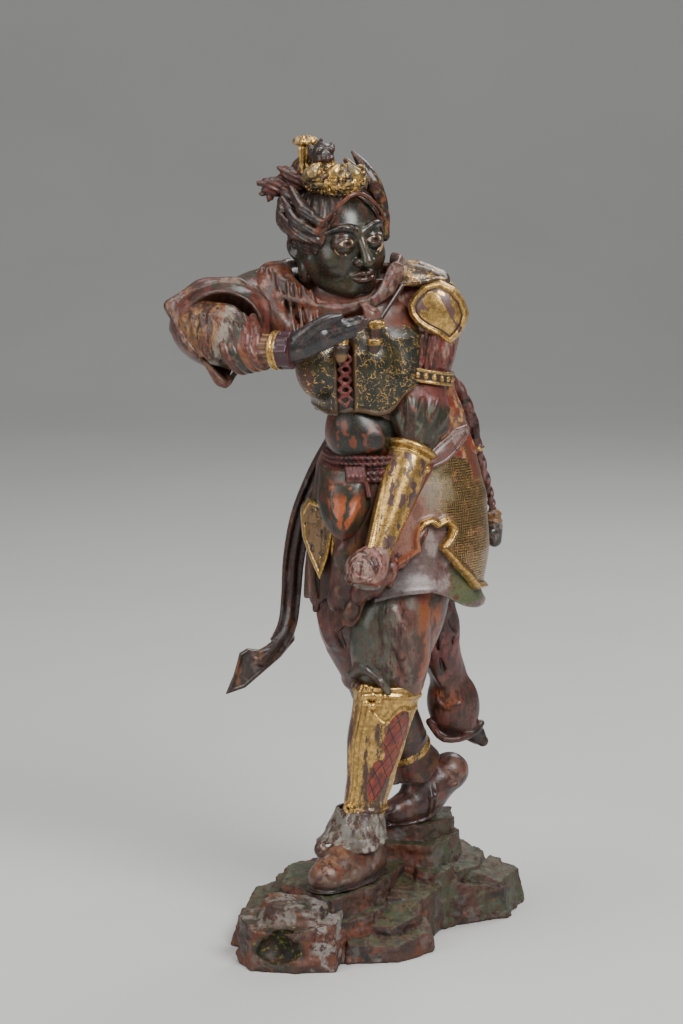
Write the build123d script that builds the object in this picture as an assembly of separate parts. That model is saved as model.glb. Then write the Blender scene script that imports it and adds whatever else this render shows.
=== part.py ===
"""Guardian figure in joined-block carved wood, striding on a rock base, about 0.82 m tall.

Frame: millimetres, +Z up, origin at the centre of the base's underside. The chest faces -Y, so the
figure's own left side is towards +X. The figure strides towards -X and -Y, left leg first.
Blocks are plain solids of the right size and place: the carved surface belongs to the looks.
"""
from build123d import *
import math
import os

# ---------------------------------------------------------------- driving dimensions
SOLE_FRONT = 64.0          # height of the rock under the front foot
SOLE_REAR = 97.0           # height of the rock under the rear foot
WAIST = 497.0              # joint plane between hip block and torso
WALL = 13.0                # wood left after hollowing head and torso
FIT = 0.25                 # radial clearance of every part that is meant to lift out
DOWEL_R = 3.0              # wooden dowels between blocks
STAPLE_T = 2.4             # thickness of the iron staples
STAPLE_LEG = 14.0
TORSO_SEAM_Y = 2.0         # plane between the torso's front and back halves

# Landmarks of the skeleton.
PELVIS = Vector(18, 20, 414)
FRONT_KNEE = Vector(5, -15, 255)
FRONT_ANKLE = Vector(-20, -15, 116)
REAR_KNEE = Vector(-8, 36, 262)
REAR_ANKLE = Vector(41, 78, 155)
RIGHT_SHOULDER = Vector(-95, 12, 646)
RIGHT_ELBOW = Vector(-180, -66, 619)
RIGHT_WRIST = Vector(-84, -118, 614)
LEFT_SHOULDER = Vector(52, 2, 646)
LEFT_ELBOW = Vector(37, -26, 514)
LEFT_WRIST = Vector(-12, -84, 407)
HEAD = Vector(-40, -5, 705)

# The head leans to the figure's right and is turned to its left.
NECK_AXIS = Vector(-0.09, -0.04, 1).normalized()
NECK_R = 23.0
NECK_FOOT = Vector(-28, 8, 604)
FACE_YAW = 28.0            # degrees from -Y towards +X
FACE = Vector(math.sin(math.radians(FACE_YAW)), -math.cos(math.radians(FACE_YAW)), 0)
FACE_SIDE = Vector(-FACE.Y, FACE.X, 0)
HEAD_HALF = (50.0, 54.0, 59.0)   # half breadth, half depth, half height

TENON_DEPTH = 38.0
FRONT_TENON = Vector(-22, -24, SOLE_FRONT)
REAR_TENON = Vector(32, 66, SOLE_REAR)
TENON_R = 8.0
HAND_TENON_R = 6.5
HAND_TENON_LENGTH = 18.0
CREST_PEG_R = 3.0
CREST_PEG_LENGTH = 14.0

# Inlaid eyes: a crystal lens, a paper pad behind it and a wooden board pinned over both from inside.
EYE_OUT = 17.0             # sideways from the middle of the face
EYE_UP = 2.0
EYE_BACK = 8.0             # from the widest point of the head back to the eye socket's mouth
LENS_R, LENS_T = 6.0, 3.0
PAD_R, PAD_T = 6.5, 1.2
BOARD_R, BOARD_T = 10.0, 3.0
PIN_R, PIN_UP = 0.9, 8.4

pieces = {}


# ---------------------------------------------------------------- helpers
def oval(centre, half_x, half_y, normal=(0, 0, 1), x_dir=None):
    """An ellipse face at centre, across normal."""
    if x_dir is None:
        return Plane(origin=centre, z_dir=normal) * Ellipse(half_x, half_y)
    return Plane(origin=centre, x_dir=x_dir, z_dir=normal) * Ellipse(half_x, half_y)


def upright(*stations):
    """A loft through level ellipses, each (x, y, z, half width, half depth)."""
    return loft([oval((x, y, z), a, b, x_dir=(1, 0, 0)) for x, y, z, a, b in stations])


def limb(*stations, start_axis=None):
    """A loft through round sections square to the path, each (point, radius).

    start_axis, if given, is the direction the first section faces.
    """
    points = [Vector(p) for p, _ in stations]
    faces = []
    for i, (_, radius) in enumerate(stations):
        before, after = points[max(i - 1, 0)], points[min(i + 1, len(points) - 1)]
        axis = start_axis if i == 0 and start_axis is not None else after - before
        faces.append(Plane(origin=points[i], z_dir=axis) * Circle(radius))
    return loft(faces)


def rod(start, end, radius):
    """A cylinder between two points."""
    axis = Vector(end) - Vector(start)
    return extrude(Plane(origin=start, z_dir=axis) * Circle(radius), axis.length)


def strip(*stations):
    """A carved ribbon: rounded bars lofted square to the path, each (point, half width, half thickness)."""
    points = [Vector(p) for p, _, _ in stations]
    faces = []
    for i, (_, wide, thick) in enumerate(stations):
        before, after = points[max(i - 1, 0)], points[min(i + 1, len(points) - 1)]
        plane = Plane(origin=points[i], x_dir=(1, 0, 0), z_dir=after - before)
        faces.append(plane * Ellipse(wide, thick))
    return loft(faces)


def rock(foot, top, z_foot, z_top):
    """A rock block lofted from a foot outline to a top outline with the same number of corners."""
    low = Pos(0, 0, z_foot) * make_face(Polyline(*foot, close=True))
    high = Pos(0, 0, z_top) * make_face(Polyline(*top, close=True))
    return loft([low, high], ruled=True)


def seated(piece, *neighbours):
    """The piece with its seats cut where its neighbours stand."""
    for other in neighbours:
        piece = piece - other
    return biggest(piece)


def biggest(piece):
    """The largest solid of a cut, so that slivers are dropped."""
    return max(piece.solids(), key=lambda s: s.volume)


def wedge(start, end, reach=260.0, z_low=300.0, z_high=560.0):
    """A pie slice round the pelvis from angle start to end in degrees, seen from above."""
    steps = [start + (end - start) * i / 4 for i in range(5)]
    rim = [(reach * math.cos(math.radians(t)), reach * math.sin(math.radians(t))) for t in steps]
    outline = make_face(Polyline((0, 0), *rim, close=True))
    return Pos(PELVIS.X, PELVIS.Y, z_low) * extrude(outline, z_high - z_low)


def add(name, shape):
    """Keeps a finished piece under its node's name."""
    pieces[name] = shape
    return shape


# ---------------------------------------------------------------- rock base
def build_base():
    """Rock blocks glued side by side, dowelled and held underneath by iron staples."""
    front_socket = rod(FRONT_TENON + Vector(0, 0, -TENON_DEPTH - 2), FRONT_TENON + Vector(0, 0, 9),
                       TENON_R + FIT)
    rear_socket = rod(REAR_TENON + Vector(0, 0, -TENON_DEPTH - 2), REAR_TENON + Vector(0, 0, 9),
                      TENON_R + FIT)
    rear = rock([(6, 22), (60, 18), (104, 60), (96, 118), (30, 122), (-6, 84)],
                [(14, 34), (58, 34), (82, 62), (78, 104), (34, 108), (8, 84)], 0, SOLE_REAR)
    rear = seated(rear, rear_socket)
    main = rock([(-96, -60), (-36, -104), (18, -96), (34, -40), (30, 30), (-60, 50), (-104, 10)],
                [(-86, -54), (-34, -84), (12, -76), (24, -42), (12, 18), (-48, 34), (-84, 4)],
                0, SOLE_FRONT)
    main = seated(main, rear, front_socket)
    boulder = rock([(-132, -116), (-96, -134), (-46, -128), (-40, -94), (-70, -70), (-128, -84)],
                   [(-116, -104), (-94, -114), (-62, -110), (-58, -92), (-78, -80), (-112, -86)], 0, 62)
    hollow = Pos(-112, -132, 34) * Sphere(24)
    boulder = seated(boulder, main, hollow)
    front_slab = rock([(-34, -106), (20, -100), (52, -50), (44, -14), (14, -30), (-20, -80)],
                      [(-28, -98), (14, -94), (42, -50), (38, -22), (14, -36), (-18, -80)], 0, 30)
    front_slab = seated(front_slab, main, rear)
    right = rock([(34, -34), (60, -34), (112, 32), (150, 98), (120, 126), (70, 110), (38, 30)],
                 [(42, -16), (58, -16), (100, 40), (128, 92), (112, 108), (76, 98), (44, 30)], 0, 60)
    right = seated(right, rear, main, front_slab)
    left = rock([(-146, 46), (-128, -34), (-92, -50), (-60, 20), (-30, 86), (-96, 96)],
                [(-126, 38), (-116, -20), (-92, -34), (-66, 24), (-46, 66), (-92, 74)], 0, 46)
    left = seated(left, main, rear)
    back = rock([(-30, 60), (6, 60), (34, 118), (20, 134), (-36, 128), (-60, 92)],
                [(-26, 66), (2, 66), (24, 112), (14, 122), (-32, 116), (-50, 90)], 0, 38)
    back = seated(back, main, rear, left)
    blocks = {"base_main_rock": main, "base_rear_rock": rear, "base_front_boulder": boulder,
              "base_front_slab": front_slab, "base_right_rock": right, "base_left_rock": left,
              "base_back_rock": back}
    dowels = [rod(a, b, DOWEL_R) for a, b in (
        ((-72, -88, 20), (-72, -56, 20)), ((0, -94, 14), (0, -66, 14)),
        ((28, 4, 26), (58, 14, 26)), ((88, 60, 30), (118, 60, 30)),
        ((-112, 4, 20), (-76, 4, 20)), ((-2, 96, 18), (26, 92, 18)))]
    staples = [staple(a, b) for a, b in (
        ((-66, -100), (-66, -60)), ((8, -14), (52, 0)), ((70, 70), (116, 76)),
        ((-100, 20), (-58, 14)), ((2, 92), (40, 84)))]
    for name, block in blocks.items():
        for tool in dowels + staples:
            if overlap_box(block, tool):
                block = biggest(block - tool)
        add(name, block)
    add("base_dowels", Compound(children=dowels))
    add("base_staples", Compound(children=staples))


def overlap_box(a, b):
    """Whether two shapes' bounding boxes meet."""
    box_a, box_b = a.bounding_box(), b.bounding_box()
    return all(lo_a < hi_b and lo_b < hi_a for lo_a, hi_a, lo_b, hi_b in zip(
        box_a.min, box_a.max, box_b.min, box_b.max))


def staple(start, end):
    """An iron staple driven flush into the underside, its two legs pointing up."""
    a, b = Vector(*start, 0), Vector(*end, 0)
    run = (b - a).length
    lie = Plane(origin=a, x_dir=b - a, z_dir=(0, 0, 1))
    bar = Pos(run / 2, 0, STAPLE_T / 2) * Box(run, STAPLE_T * 1.6, STAPLE_T)
    legs = [Pos(x, 0, STAPLE_LEG / 2) * Box(STAPLE_T, STAPLE_T * 1.6, STAPLE_LEG)
            for x in (STAPLE_T / 2, run - STAPLE_T / 2)]
    return (lie.location * (bar + legs[0] + legs[1])).solid()


# ---------------------------------------------------------------- torso and hips
def head_oval(level, half_x, half_y):
    """A level of the head, square to the neck and turned with the face."""
    return oval(HEAD + NECK_AXIS * level, half_x, half_y, normal=NECK_AXIS, x_dir=FACE_SIDE)


def head_room(gap=1.5, lift=90.0):
    """The space that the head sweeps as it lifts straight out of the collar."""
    half_x, half_y, half_z = HEAD_HALF
    lower = []
    for t in (-0.97, -0.8, -0.45, -0.1):
        wide = math.sqrt(1 - t * t)
        lower.append(head_oval(half_z * t, (half_x + gap) * wide, (half_y + gap) * wide))
    bowl = loft(lower)
    shaft = extrude(head_oval(-half_z * 0.12, half_x + gap, half_y + gap), lift)
    return bowl + shaft


def build_trunk():
    """Hip block, hollowed torso in two halves, and the scarf carved as a ring round the neck."""
    hip = upright((8, 18, 372, 60, 46), (16, 19, 414, 66, 52), (4, 12, 462, 54, 45), (-14, 5, WAIST, 44, 40))
    body = upright((-14, 5, WAIST, 46, 42), (-8, 2, 538, 50, 47), (-9, 0, 578, 65, 53),
                   (-16, 3, 616, 70, 48), (-24, 7, 644, 60, 38))
    cavity = upright((-14, 5, WAIST + WALL, 32, 28), (-8, 2, 538, 36, 33), (-10, 0, 574, 50, 39),
                     (-20, 6, 604, 42, 34))
    neck_bore = rod(NECK_FOOT, NECK_FOOT + NECK_AXIS * 70, NECK_R + FIT)
    collar = upright((-22, 6, 626, 66, 50), (-28, 4, 650, 66, 56), (-33, 6, 672, 64, 60))
    slope = Plane(origin=(-30, 4, 664), z_dir=(-0.06, -0.34, 1))
    collar = seated(split(collar, bisect_by=slope, keep=Keep.BOTTOM), head_room(), body, neck_bore)
    body = seated(body, cavity, neck_bore)
    seam = Plane(origin=(0, TORSO_SEAM_Y, 0), z_dir=(0, 1, 0))
    front = biggest(split(body, bisect_by=seam, keep=Keep.BOTTOM))
    back = biggest(split(body, bisect_by=seam, keep=Keep.TOP))
    pins = [rod((x, TORSO_SEAM_Y - 9, z), (x, TORSO_SEAM_Y + 9, z), DOWEL_R)
            for x, z in ((-60, 560), (42, 566), (-70, 600), (44, 600))]
    hip_pins = [rod((x, 5, WAIST - 14), (x, 5, WAIST + 9), DOWEL_R) for x in (-44, 16)]
    for pin in pins + hip_pins:
        front, back = biggest(front - pin), biggest(back - pin)
    add("hip_block", biggest(hip - hip_pins[0] - hip_pins[1]))
    add("torso_front", front)
    add("torso_back", back)
    add("torso_dowels", Compound(children=pins + hip_pins))
    add("neck_scarf", collar)

# ---------------------------------------------------------------- head
def build_head():
    """Face and back of the head as two hollowed blocks with a neck plug, inlaid eyes, hair and crown."""
    half_x, half_y, half_z = HEAD_HALF
    levels = (-0.97, -0.8, -0.45, 0, 0.45, 0.8, 0.97)

    def skull(shrink):
        """Level ovals, turned with the face; shrink gives the hollow."""
        faces = []
        for t in levels:
            wide = math.sqrt(1 - t * t)
            faces.append(head_oval(t * (half_z - shrink), (half_x - shrink) * wide, (half_y - shrink) * wide))
        return loft(faces)

    neck = rod(NECK_FOOT + NECK_AXIS * 1, NECK_FOOT + NECK_AXIS * 66, NECK_R)
    whole = skull(0) + neck
    whole = biggest(whole - skull(WALL + 3))
    seam = Plane(origin=HEAD - FACE * 12, z_dir=FACE)
    face = split(whole, bisect_by=seam, keep=Keep.TOP)
    back = split(whole, bisect_by=seam, keep=Keep.BOTTOM)
    lenses, pads, boards, eye_pins = [], [], [], []
    for side in (-1, 1):
        eye = HEAD + FACE_SIDE * (side * EYE_OUT) + NECK_AXIS * EYE_UP + FACE * (half_y - EYE_BACK)
        lens_back = eye - FACE * (LENS_T + 2)
        pad_back = lens_back - FACE * PAD_T
        board_back = pad_back - FACE * BOARD_T
        pad = rod(pad_back, lens_back, PAD_R)
        lenses.append(rod(lens_back, lens_back + FACE * LENS_T, LENS_R))
        pads.append(pad)
        socket = rod(lens_back, eye + FACE * WALL, LENS_R)
        recess = rod(board_back - FACE * WALL, pad_back, BOARD_R)
        face = face - recess - socket - pad
        for up in (-1, 1):
            foot = board_back + NECK_AXIS * (up * PIN_UP)
            eye_pins.append(rod(foot - FACE, foot + FACE * 2 * BOARD_T, PIN_R))
        boards.append(biggest(rod(board_back, pad_back, BOARD_R) - eye_pins[-1] - eye_pins[-2]))
    for pin in eye_pins:
        face = face - pin
    face, back = biggest(face), biggest(back)
    crown = loft([head_oval(h, a, b) for h, a, b in ((36, 43, 47), (52, 36, 39), (70, 17, 20))])
    crown = seated(crown, face, back)
    knot_foot = HEAD + NECK_AXIS * 66 - FACE * 16
    topknot = limb((HEAD + NECK_AXIS * 46 - FACE * 30, 16), (knot_foot + NECK_AXIS * 2, 15),
                   (knot_foot + NECK_AXIS * 16 + FACE * 2, 10))
    topknot = seated(topknot, face, back, crown)
    crest_seat = HEAD + NECK_AXIS * 84 + FACE_SIDE * -13 + FACE * 6
    peg_hole = rod(crest_seat - NECK_AXIS * (CREST_PEG_LENGTH + 1), crest_seat + NECK_AXIS * 4,
                   CREST_PEG_R + FIT)
    crest_block = limb((crest_seat + Vector(3, -2, 1) + NECK_AXIS * 2, 9), (crest_seat + NECK_AXIS * 11, 12),
                       (crest_seat + NECK_AXIS * 19, 8))
    crest_peg = rod(crest_seat - NECK_AXIS * CREST_PEG_LENGTH, crest_seat + NECK_AXIS * 8, CREST_PEG_R)
    ledge = biggest(limb((crest_seat - NECK_AXIS * 26, 13), (crest_seat - NECK_AXIS * 0.2, 10)) - peg_hole)
    ledge = seated(ledge, crown, face, back, topknot)
    crest_block = seated(crest_block, ledge, crown, topknot)
    crest = add("crest_animal_head", biggest(crest_block + crest_peg))
    crest_sweep = rod(crest_seat, crest_seat + NECK_AXIS * 60, 14)
    for name, side, tip in (("hair_tuft_right", -1, Vector(-118, 12, 750)),
                            ("hair_tuft_left", 1, Vector(-24, 20, 790))):
        root = HEAD + FACE_SIDE * (side * 38) + NECK_AXIS * 12 - FACE * 4
        bend = HEAD + FACE_SIDE * (side * 46) + NECK_AXIS * 36 - FACE * 6
        tuft = limb((root, 12), (bend, 12), (tip, 4))
        add(name, seated(tuft, face, back, crown, topknot, ledge, crest_sweep))
    flower_foot = Vector(-77, 8, 768)
    flower = limb((flower_foot, 4), (flower_foot + Vector(2, 0, 20), 5), (flower_foot + Vector(0, 0, 42), 12))
    add("gilt_flower", seated(flower, face, back, crown, topknot, ledge, crest_sweep,
                              pieces["hair_tuft_right"]))
    add("face_block", face)
    add("head_back_block", back)
    add("crystal_eyes", Compound(children=lenses))
    add("eye_papers", Compound(children=pads))
    add("eye_boards", Compound(children=boards))
    add("eye_board_pins", Compound(children=eye_pins))
    add("crown_band", crown)
    add("topknot", topknot)
    add("crest_seat", ledge)


# ---------------------------------------------------------------- arms
def build_arms():
    """Arm blocks, each hand plugged into its cuff by a round tenon, and the shoulder guard."""
    torso_front, torso_back, scarf = (pieces[n] for n in ("torso_front", "torso_back", "neck_scarf"))
    upper_r = limb((Vector(-62, 8, 624), 28), (RIGHT_SHOULDER + Vector(-10, -10, -14), 33),
                   (RIGHT_ELBOW + Vector(2, 6, 2), 39))
    upper_r = add("right_upper_arm", seated(upper_r, torso_front, torso_back, scarf))
    aim_r = (RIGHT_WRIST - RIGHT_ELBOW).normalized()
    fore_r = limb((RIGHT_ELBOW + aim_r * 6, 34), (RIGHT_ELBOW + aim_r * 40 + Vector(0, 0, -7), 33),
                  (RIGHT_ELBOW + aim_r * 76, 25), (RIGHT_WRIST, 17))
    socket_r = rod(RIGHT_WRIST - aim_r * (HAND_TENON_LENGTH + 1), RIGHT_WRIST + aim_r * 2,
                   HAND_TENON_R + FIT)
    fore_r = add("right_forearm", seated(fore_r, upper_r, torso_front, torso_back, scarf, socket_r))
    palm = RIGHT_WRIST + aim_r * 1.0
    hand_r = limb((palm, 13), (palm + Vector(24, -4, 6), 14), (palm + Vector(48, 8, 15), 10),
                  (palm + Vector(67, 22, 25), 5), start_axis=aim_r)
    tenon_r = rod(RIGHT_WRIST - aim_r * HAND_TENON_LENGTH, palm + aim_r * 5, HAND_TENON_R)
    add("right_hand", biggest(hand_r + tenon_r))

    upper_l = limb((LEFT_SHOULDER + Vector(-6, 3, -4), 28), (LEFT_SHOULDER + Vector(4, 0, -30), 28),
                   (LEFT_SHOULDER + Vector(-6, -12, -70), 26), (LEFT_ELBOW + Vector(4, 2, 38), 27))
    upper_l = add("left_upper_arm", seated(upper_l, torso_front, torso_back, scarf))
    aim_l = (LEFT_WRIST - LEFT_ELBOW).normalized()
    fore_l = limb((LEFT_ELBOW + Vector(4, 2, 37.5), 27), (LEFT_ELBOW + Vector(0, 0, 12), 30),
                  (LEFT_ELBOW + aim_l * 18, 25), (LEFT_ELBOW + aim_l * 80, 19), (LEFT_WRIST, 15))
    socket_l = rod(LEFT_WRIST - aim_l * (HAND_TENON_LENGTH + 1), LEFT_WRIST + aim_l * 2,
                   HAND_TENON_R + FIT)
    fore_l = add("left_forearm", seated(fore_l, upper_l, torso_front, torso_back, pieces["hip_block"],
                                        socket_l))
    heel_l = LEFT_WRIST + aim_l * 1.0
    hand_l = limb((heel_l, 12), (heel_l + aim_l * 12, 19), (heel_l + aim_l * 26, 18),
                  (heel_l + aim_l * 36, 9))
    tenon_l = rod(LEFT_WRIST - aim_l * HAND_TENON_LENGTH, heel_l + aim_l * 5, HAND_TENON_R)
    add("left_hand", biggest(hand_l + tenon_l))

    guard = Pos(LEFT_SHOULDER + Vector(-4, -4, -10)) * Sphere(41)
    guard = guard - Pos(LEFT_SHOULDER + Vector(-6, -2, -14)) * Sphere(35)
    guard = guard & (Pos(LEFT_SHOULDER + Vector(8, -16, -10)) * Box(62, 66, 64))
    guard = add("left_shoulder_guard", seated(guard, upper_l, torso_front, torso_back, scarf))
    lappet = limb((Vector(22, -8, 668), 14), (Vector(40, -10, 670), 15), (Vector(62, -8, 660), 11))
    add("left_shoulder_lappet", seated(lappet, guard, upper_l, torso_front, torso_back, scarf))

    pins = [rod(Vector(-104, 4, 618), Vector(-72, 6, 618), DOWEL_R),
            rod(Vector(42, 4, 626), Vector(66, 4, 626), DOWEL_R),
            rod(LEFT_ELBOW + Vector(4, 0, 24), LEFT_ELBOW + Vector(4, 0, 50), DOWEL_R)]
    for name in ("right_upper_arm", "left_upper_arm", "left_forearm", "torso_front", "torso_back"):
        for pin in pins:
            if overlap_box(pieces[name], pin):
                pieces[name] = biggest(pieces[name] - pin)
    add("arm_dowels", Compound(children=pins))


# ---------------------------------------------------------------- skirts, legs and feet
def build_skirts():
    """Hip armour round the hip block, the robe hem below it, the apron, belt and streaming drape."""
    hip = pieces["hip_block"]
    trunk = (pieces["torso_front"], pieces["torso_back"], pieces["left_forearm"],
             pieces["left_upper_arm"], pieces["left_hand"])
    armour = upright((13, 22, 352, 90, 78), (18, 22, 400, 95, 76), (19, 21, 450, 82, 64),
                     (4, 14, 500, 60, 50))
    armour_inner = upright((13, 22, 346, 83, 71), (18, 22, 400, 88, 69), (19, 21, 450, 75, 57),
                           (0, 12, 503, 52, 43))
    shell = armour - armour_inner
    hand_path = extrude(Plane(origin=LEFT_WRIST, z_dir=LEFT_WRIST - LEFT_ELBOW) * Circle(23), 64)
    panels = {"hip_armour_left": (-52, 42), "hip_armour_back": (43, 137), "hip_armour_right": (138, 222)}
    for name, (start, end) in panels.items():
        panel = biggest(shell & wedge(start, end))
        add(name, seated(panel, hip, *trunk, hand_path))
    hem = upright((10, 20, 322, 80, 66), (12, 21, 360, 81, 67), (15, 21, 392, 80, 64))
    hem_inner = upright((10, 20, 318, 73, 59), (12, 21, 360, 74, 60), (15, 21, 396, 73, 57))
    hem = hem - hem_inner
    add("robe_hem_left", biggest(hem & wedge(-62, 88, z_low=330, z_high=388)))
    add("robe_hem_right", biggest(hem & wedge(90, 230, z_low=326, z_high=388)))
    apron = upright((-30, -58, 398, 14, 7), (-28, -56, 440, 32, 9), (-24, -48, 482, 40, 10))
    apron = add("front_apron", seated(apron, hip, *trunk, hand_path, pieces["hip_armour_right"]))
    front = biggest(shell & wedge(223, 262, z_low=360))
    front = add("hip_armour_front", seated(front, hip, apron, *trunk, hand_path))
    belt_ring = upright((-8, 10, 474, 63, 55), (-10, 8, 490, 60, 53))
    belt_ring = belt_ring - upright((-8, 10, 470, 57, 49), (-10, 8, 494, 54, 47))
    knot = Pos(-24, -52, 478) * Sphere(9)
    belt = biggest(belt_ring + knot)
    neighbours = [pieces[n] for n in (*panels, "front_apron", "hip_armour_front", "left_forearm")]
    add("waist_cord", seated(belt, hip, pieces["torso_front"], pieces["torso_back"], *neighbours))
    drape = upright((72, 62, 350, 20, 12), (66, 66, 300, 22, 14), (76, 84, 246, 30, 18),
                    (84, 92, 200, 30, 18), (100, 94, 172, 14, 10))
    add("streaming_drape", seated(drape, hip, pieces["robe_hem_left"], pieces["hip_armour_left"],
                                  pieces["hip_armour_back"]))


def build_legs():
    """Leg blocks hung under the hip block, gaiter flaps, shoes and the tenons that plug into the rocks."""
    hip = pieces["hip_block"]
    cloth = [pieces[n] for n in ("robe_hem_left", "robe_hem_right", "hip_armour_left",
                                    "hip_armour_right", "hip_armour_back", "front_apron",
                                    "streaming_drape", "hip_armour_front")]
    knee, ankle = FRONT_KNEE, FRONT_ANKLE
    front = upright((knee.X + 32, 0, 384, 40, 38), (knee.X + 19, -6, 325, 41, 40),
                    (knee.X + 7, knee.Y + 5, knee.Z + 16, 38, 36), (knee.X, knee.Y + 3, knee.Z - 6, 30, 30),
                    (-7, -14, 190, 26, 27), (ankle.X + 4, ankle.Y, ankle.Z + 6, 19, 20))
    front = seated(front, hip, *cloth)
    knee, ankle = REAR_KNEE, REAR_ANKLE
    rear = upright((-20, 34, 384, 36, 34), (-26, 32, 325, 34, 34),
                   (knee.X - 8, knee.Y - 2, knee.Z + 13, 33, 32),
                   (knee.X + 6, knee.Y + 6, knee.Z - 17, 26, 26), (20, 58, 204, 22, 22),
                   (ankle.X - 5, ankle.Y - 6, ankle.Z + 6, 18, 18))
    rear = seated(rear, hip, front, *cloth)
    gaiter_f = add("front_gaiter", seated(upright((-24, -22, 98, 30, 26), (-20, -15, 124, 21, 21)), front))
    gaiter_r = seated(upright((36, 72, 146, 27, 23), (40, 76, 166, 19, 19)), rear)
    gaiter_r = add("rear_gaiter", seated(gaiter_r, pieces["base_rear_rock"]))
    shoe_f = upright((-36, -44, SOLE_FRONT, 32, 44), (-36, -44, SOLE_FRONT + 16, 33, 45),
                     (-30, -34, SOLE_FRONT + 38, 24, 32), (-21, -16, SOLE_FRONT + 50, 17, 18))
    shoe_f = seated(shoe_f, gaiter_f, front)
    toe, heel = Vector(20, 58, SOLE_REAR + 13), Vector(82, 94, SOLE_REAR + 53)
    shoe_r = limb((toe - Vector(11, 7, 2), 8), (toe, 18), (toe + (heel - toe) * 0.5, 21), (heel, 20),
                  (heel + Vector(8, 5, 5), 10))
    shoe_r = seated(shoe_r, gaiter_r, rear, pieces["base_rear_rock"])
    add("front_leg", front)
    add("rear_leg", rear)
    tenons = {}
    for name, foot in (("front_foot_tenon", FRONT_TENON), ("rear_foot_tenon", REAR_TENON)):
        tenons[name] = add(name, rod(foot - Vector(0, 0, TENON_DEPTH), foot + Vector(0, 0, 14), TENON_R))
    add("front_shoe", seated(shoe_f, tenons["front_foot_tenon"]))
    add("rear_shoe", seated(shoe_r, tenons["rear_foot_tenon"]))
    pieces["rear_gaiter"] = seated(gaiter_r, tenons["rear_foot_tenon"])
    pins = [rod(Vector(38, 4, 372), Vector(36, 4, 400), DOWEL_R + 1),
            rod(Vector(-20, 30, 372), Vector(-18, 30, 400), DOWEL_R + 1)]
    for name in ("front_leg", "rear_leg", "hip_block"):
        for pin in pins:
            pieces[name] = biggest(pieces[name] - pin)
    add("leg_dowels", Compound(children=pins))


# ---------------------------------------------------------------- applied ornaments
def build_ornaments():
    """Scarf tail, hanging hip cord with its cap, and the gilt strap ends on the chest."""
    tail = strip((Vector(-52, 44, 496), 8, 4), (Vector(-70, 50, 450), 9, 4), (Vector(-86, 50, 398), 9, 4),
                 (Vector(-92, 46, 350), 9, 4), (Vector(-100, 40, 315), 10, 4), (Vector(-120, 26, 286), 14, 4),
                 (Vector(-148, 8, 256), 6, 3))
    add("scarf_tail", seated(tail, pieces["hip_block"], pieces["torso_back"], pieces["torso_front"],
                             pieces["hip_armour_right"], pieces["waist_cord"]))
    cord = limb((Vector(34, 40, 556), 5), (Vector(66, 58, 560), 6), (Vector(88, 68, 532), 7),
                (Vector(100, 76, 484), 6), (Vector(112, 80, 440), 4), (Vector(117, 76, 422), 4))
    cord = add("hip_cord", seated(cord, pieces["hip_armour_left"], pieces["hip_armour_back"],
                                  pieces["torso_back"]))
    cap = limb((Vector(117, 76, 423), 7), (Vector(118, 74, 404), 8.5), (Vector(118, 73, 388), 4))
    add("hip_cord_cap", seated(cap, cord, pieces["hip_armour_left"]))
    chest = (pieces["torso_front"], pieces["neck_scarf"])
    strap_ends = [seated(Pos(x, -53, z) * Box(14, 12, 28), *chest) for x, z in ((-37, 601), (-9, 612))]
    add("strap_ends", Compound(children=strap_ends))
    add("chest_knob", seated(rod((-10, -60, 640), (-10, -46, 636), 7), *chest))


build_base()
build_trunk()
build_head()
build_arms()
build_skirts()
build_legs()
build_ornaments()
os.makedirs("parts", exist_ok=True)
for node, shape in pieces.items():
    export_step(shape, f"parts/{node}.step")
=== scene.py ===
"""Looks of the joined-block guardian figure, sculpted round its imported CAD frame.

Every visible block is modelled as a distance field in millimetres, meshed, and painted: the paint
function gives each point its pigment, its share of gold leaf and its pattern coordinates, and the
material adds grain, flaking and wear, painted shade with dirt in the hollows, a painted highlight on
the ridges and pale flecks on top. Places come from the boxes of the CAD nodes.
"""
import math

import bpy
import numpy as np
import openvdb as vdb
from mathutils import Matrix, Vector


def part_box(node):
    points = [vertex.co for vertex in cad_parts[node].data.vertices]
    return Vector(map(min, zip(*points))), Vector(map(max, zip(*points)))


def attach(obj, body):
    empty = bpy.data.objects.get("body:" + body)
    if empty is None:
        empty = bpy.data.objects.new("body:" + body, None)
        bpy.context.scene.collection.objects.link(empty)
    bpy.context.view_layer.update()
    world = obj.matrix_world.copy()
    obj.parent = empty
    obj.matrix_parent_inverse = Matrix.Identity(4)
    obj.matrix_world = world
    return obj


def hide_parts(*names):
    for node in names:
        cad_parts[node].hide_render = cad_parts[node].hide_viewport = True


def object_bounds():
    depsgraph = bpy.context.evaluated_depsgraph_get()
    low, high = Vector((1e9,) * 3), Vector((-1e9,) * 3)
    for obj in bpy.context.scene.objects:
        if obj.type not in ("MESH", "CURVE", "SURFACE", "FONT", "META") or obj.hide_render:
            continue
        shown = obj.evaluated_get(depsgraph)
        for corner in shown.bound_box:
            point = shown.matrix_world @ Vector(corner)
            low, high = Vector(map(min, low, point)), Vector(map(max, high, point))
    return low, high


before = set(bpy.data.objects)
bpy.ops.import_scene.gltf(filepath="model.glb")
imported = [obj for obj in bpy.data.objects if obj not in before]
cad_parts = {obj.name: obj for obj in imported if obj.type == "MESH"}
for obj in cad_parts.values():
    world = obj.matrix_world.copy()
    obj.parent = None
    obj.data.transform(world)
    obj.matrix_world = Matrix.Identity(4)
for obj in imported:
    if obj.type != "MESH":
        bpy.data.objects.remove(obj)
cad_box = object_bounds()

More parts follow.
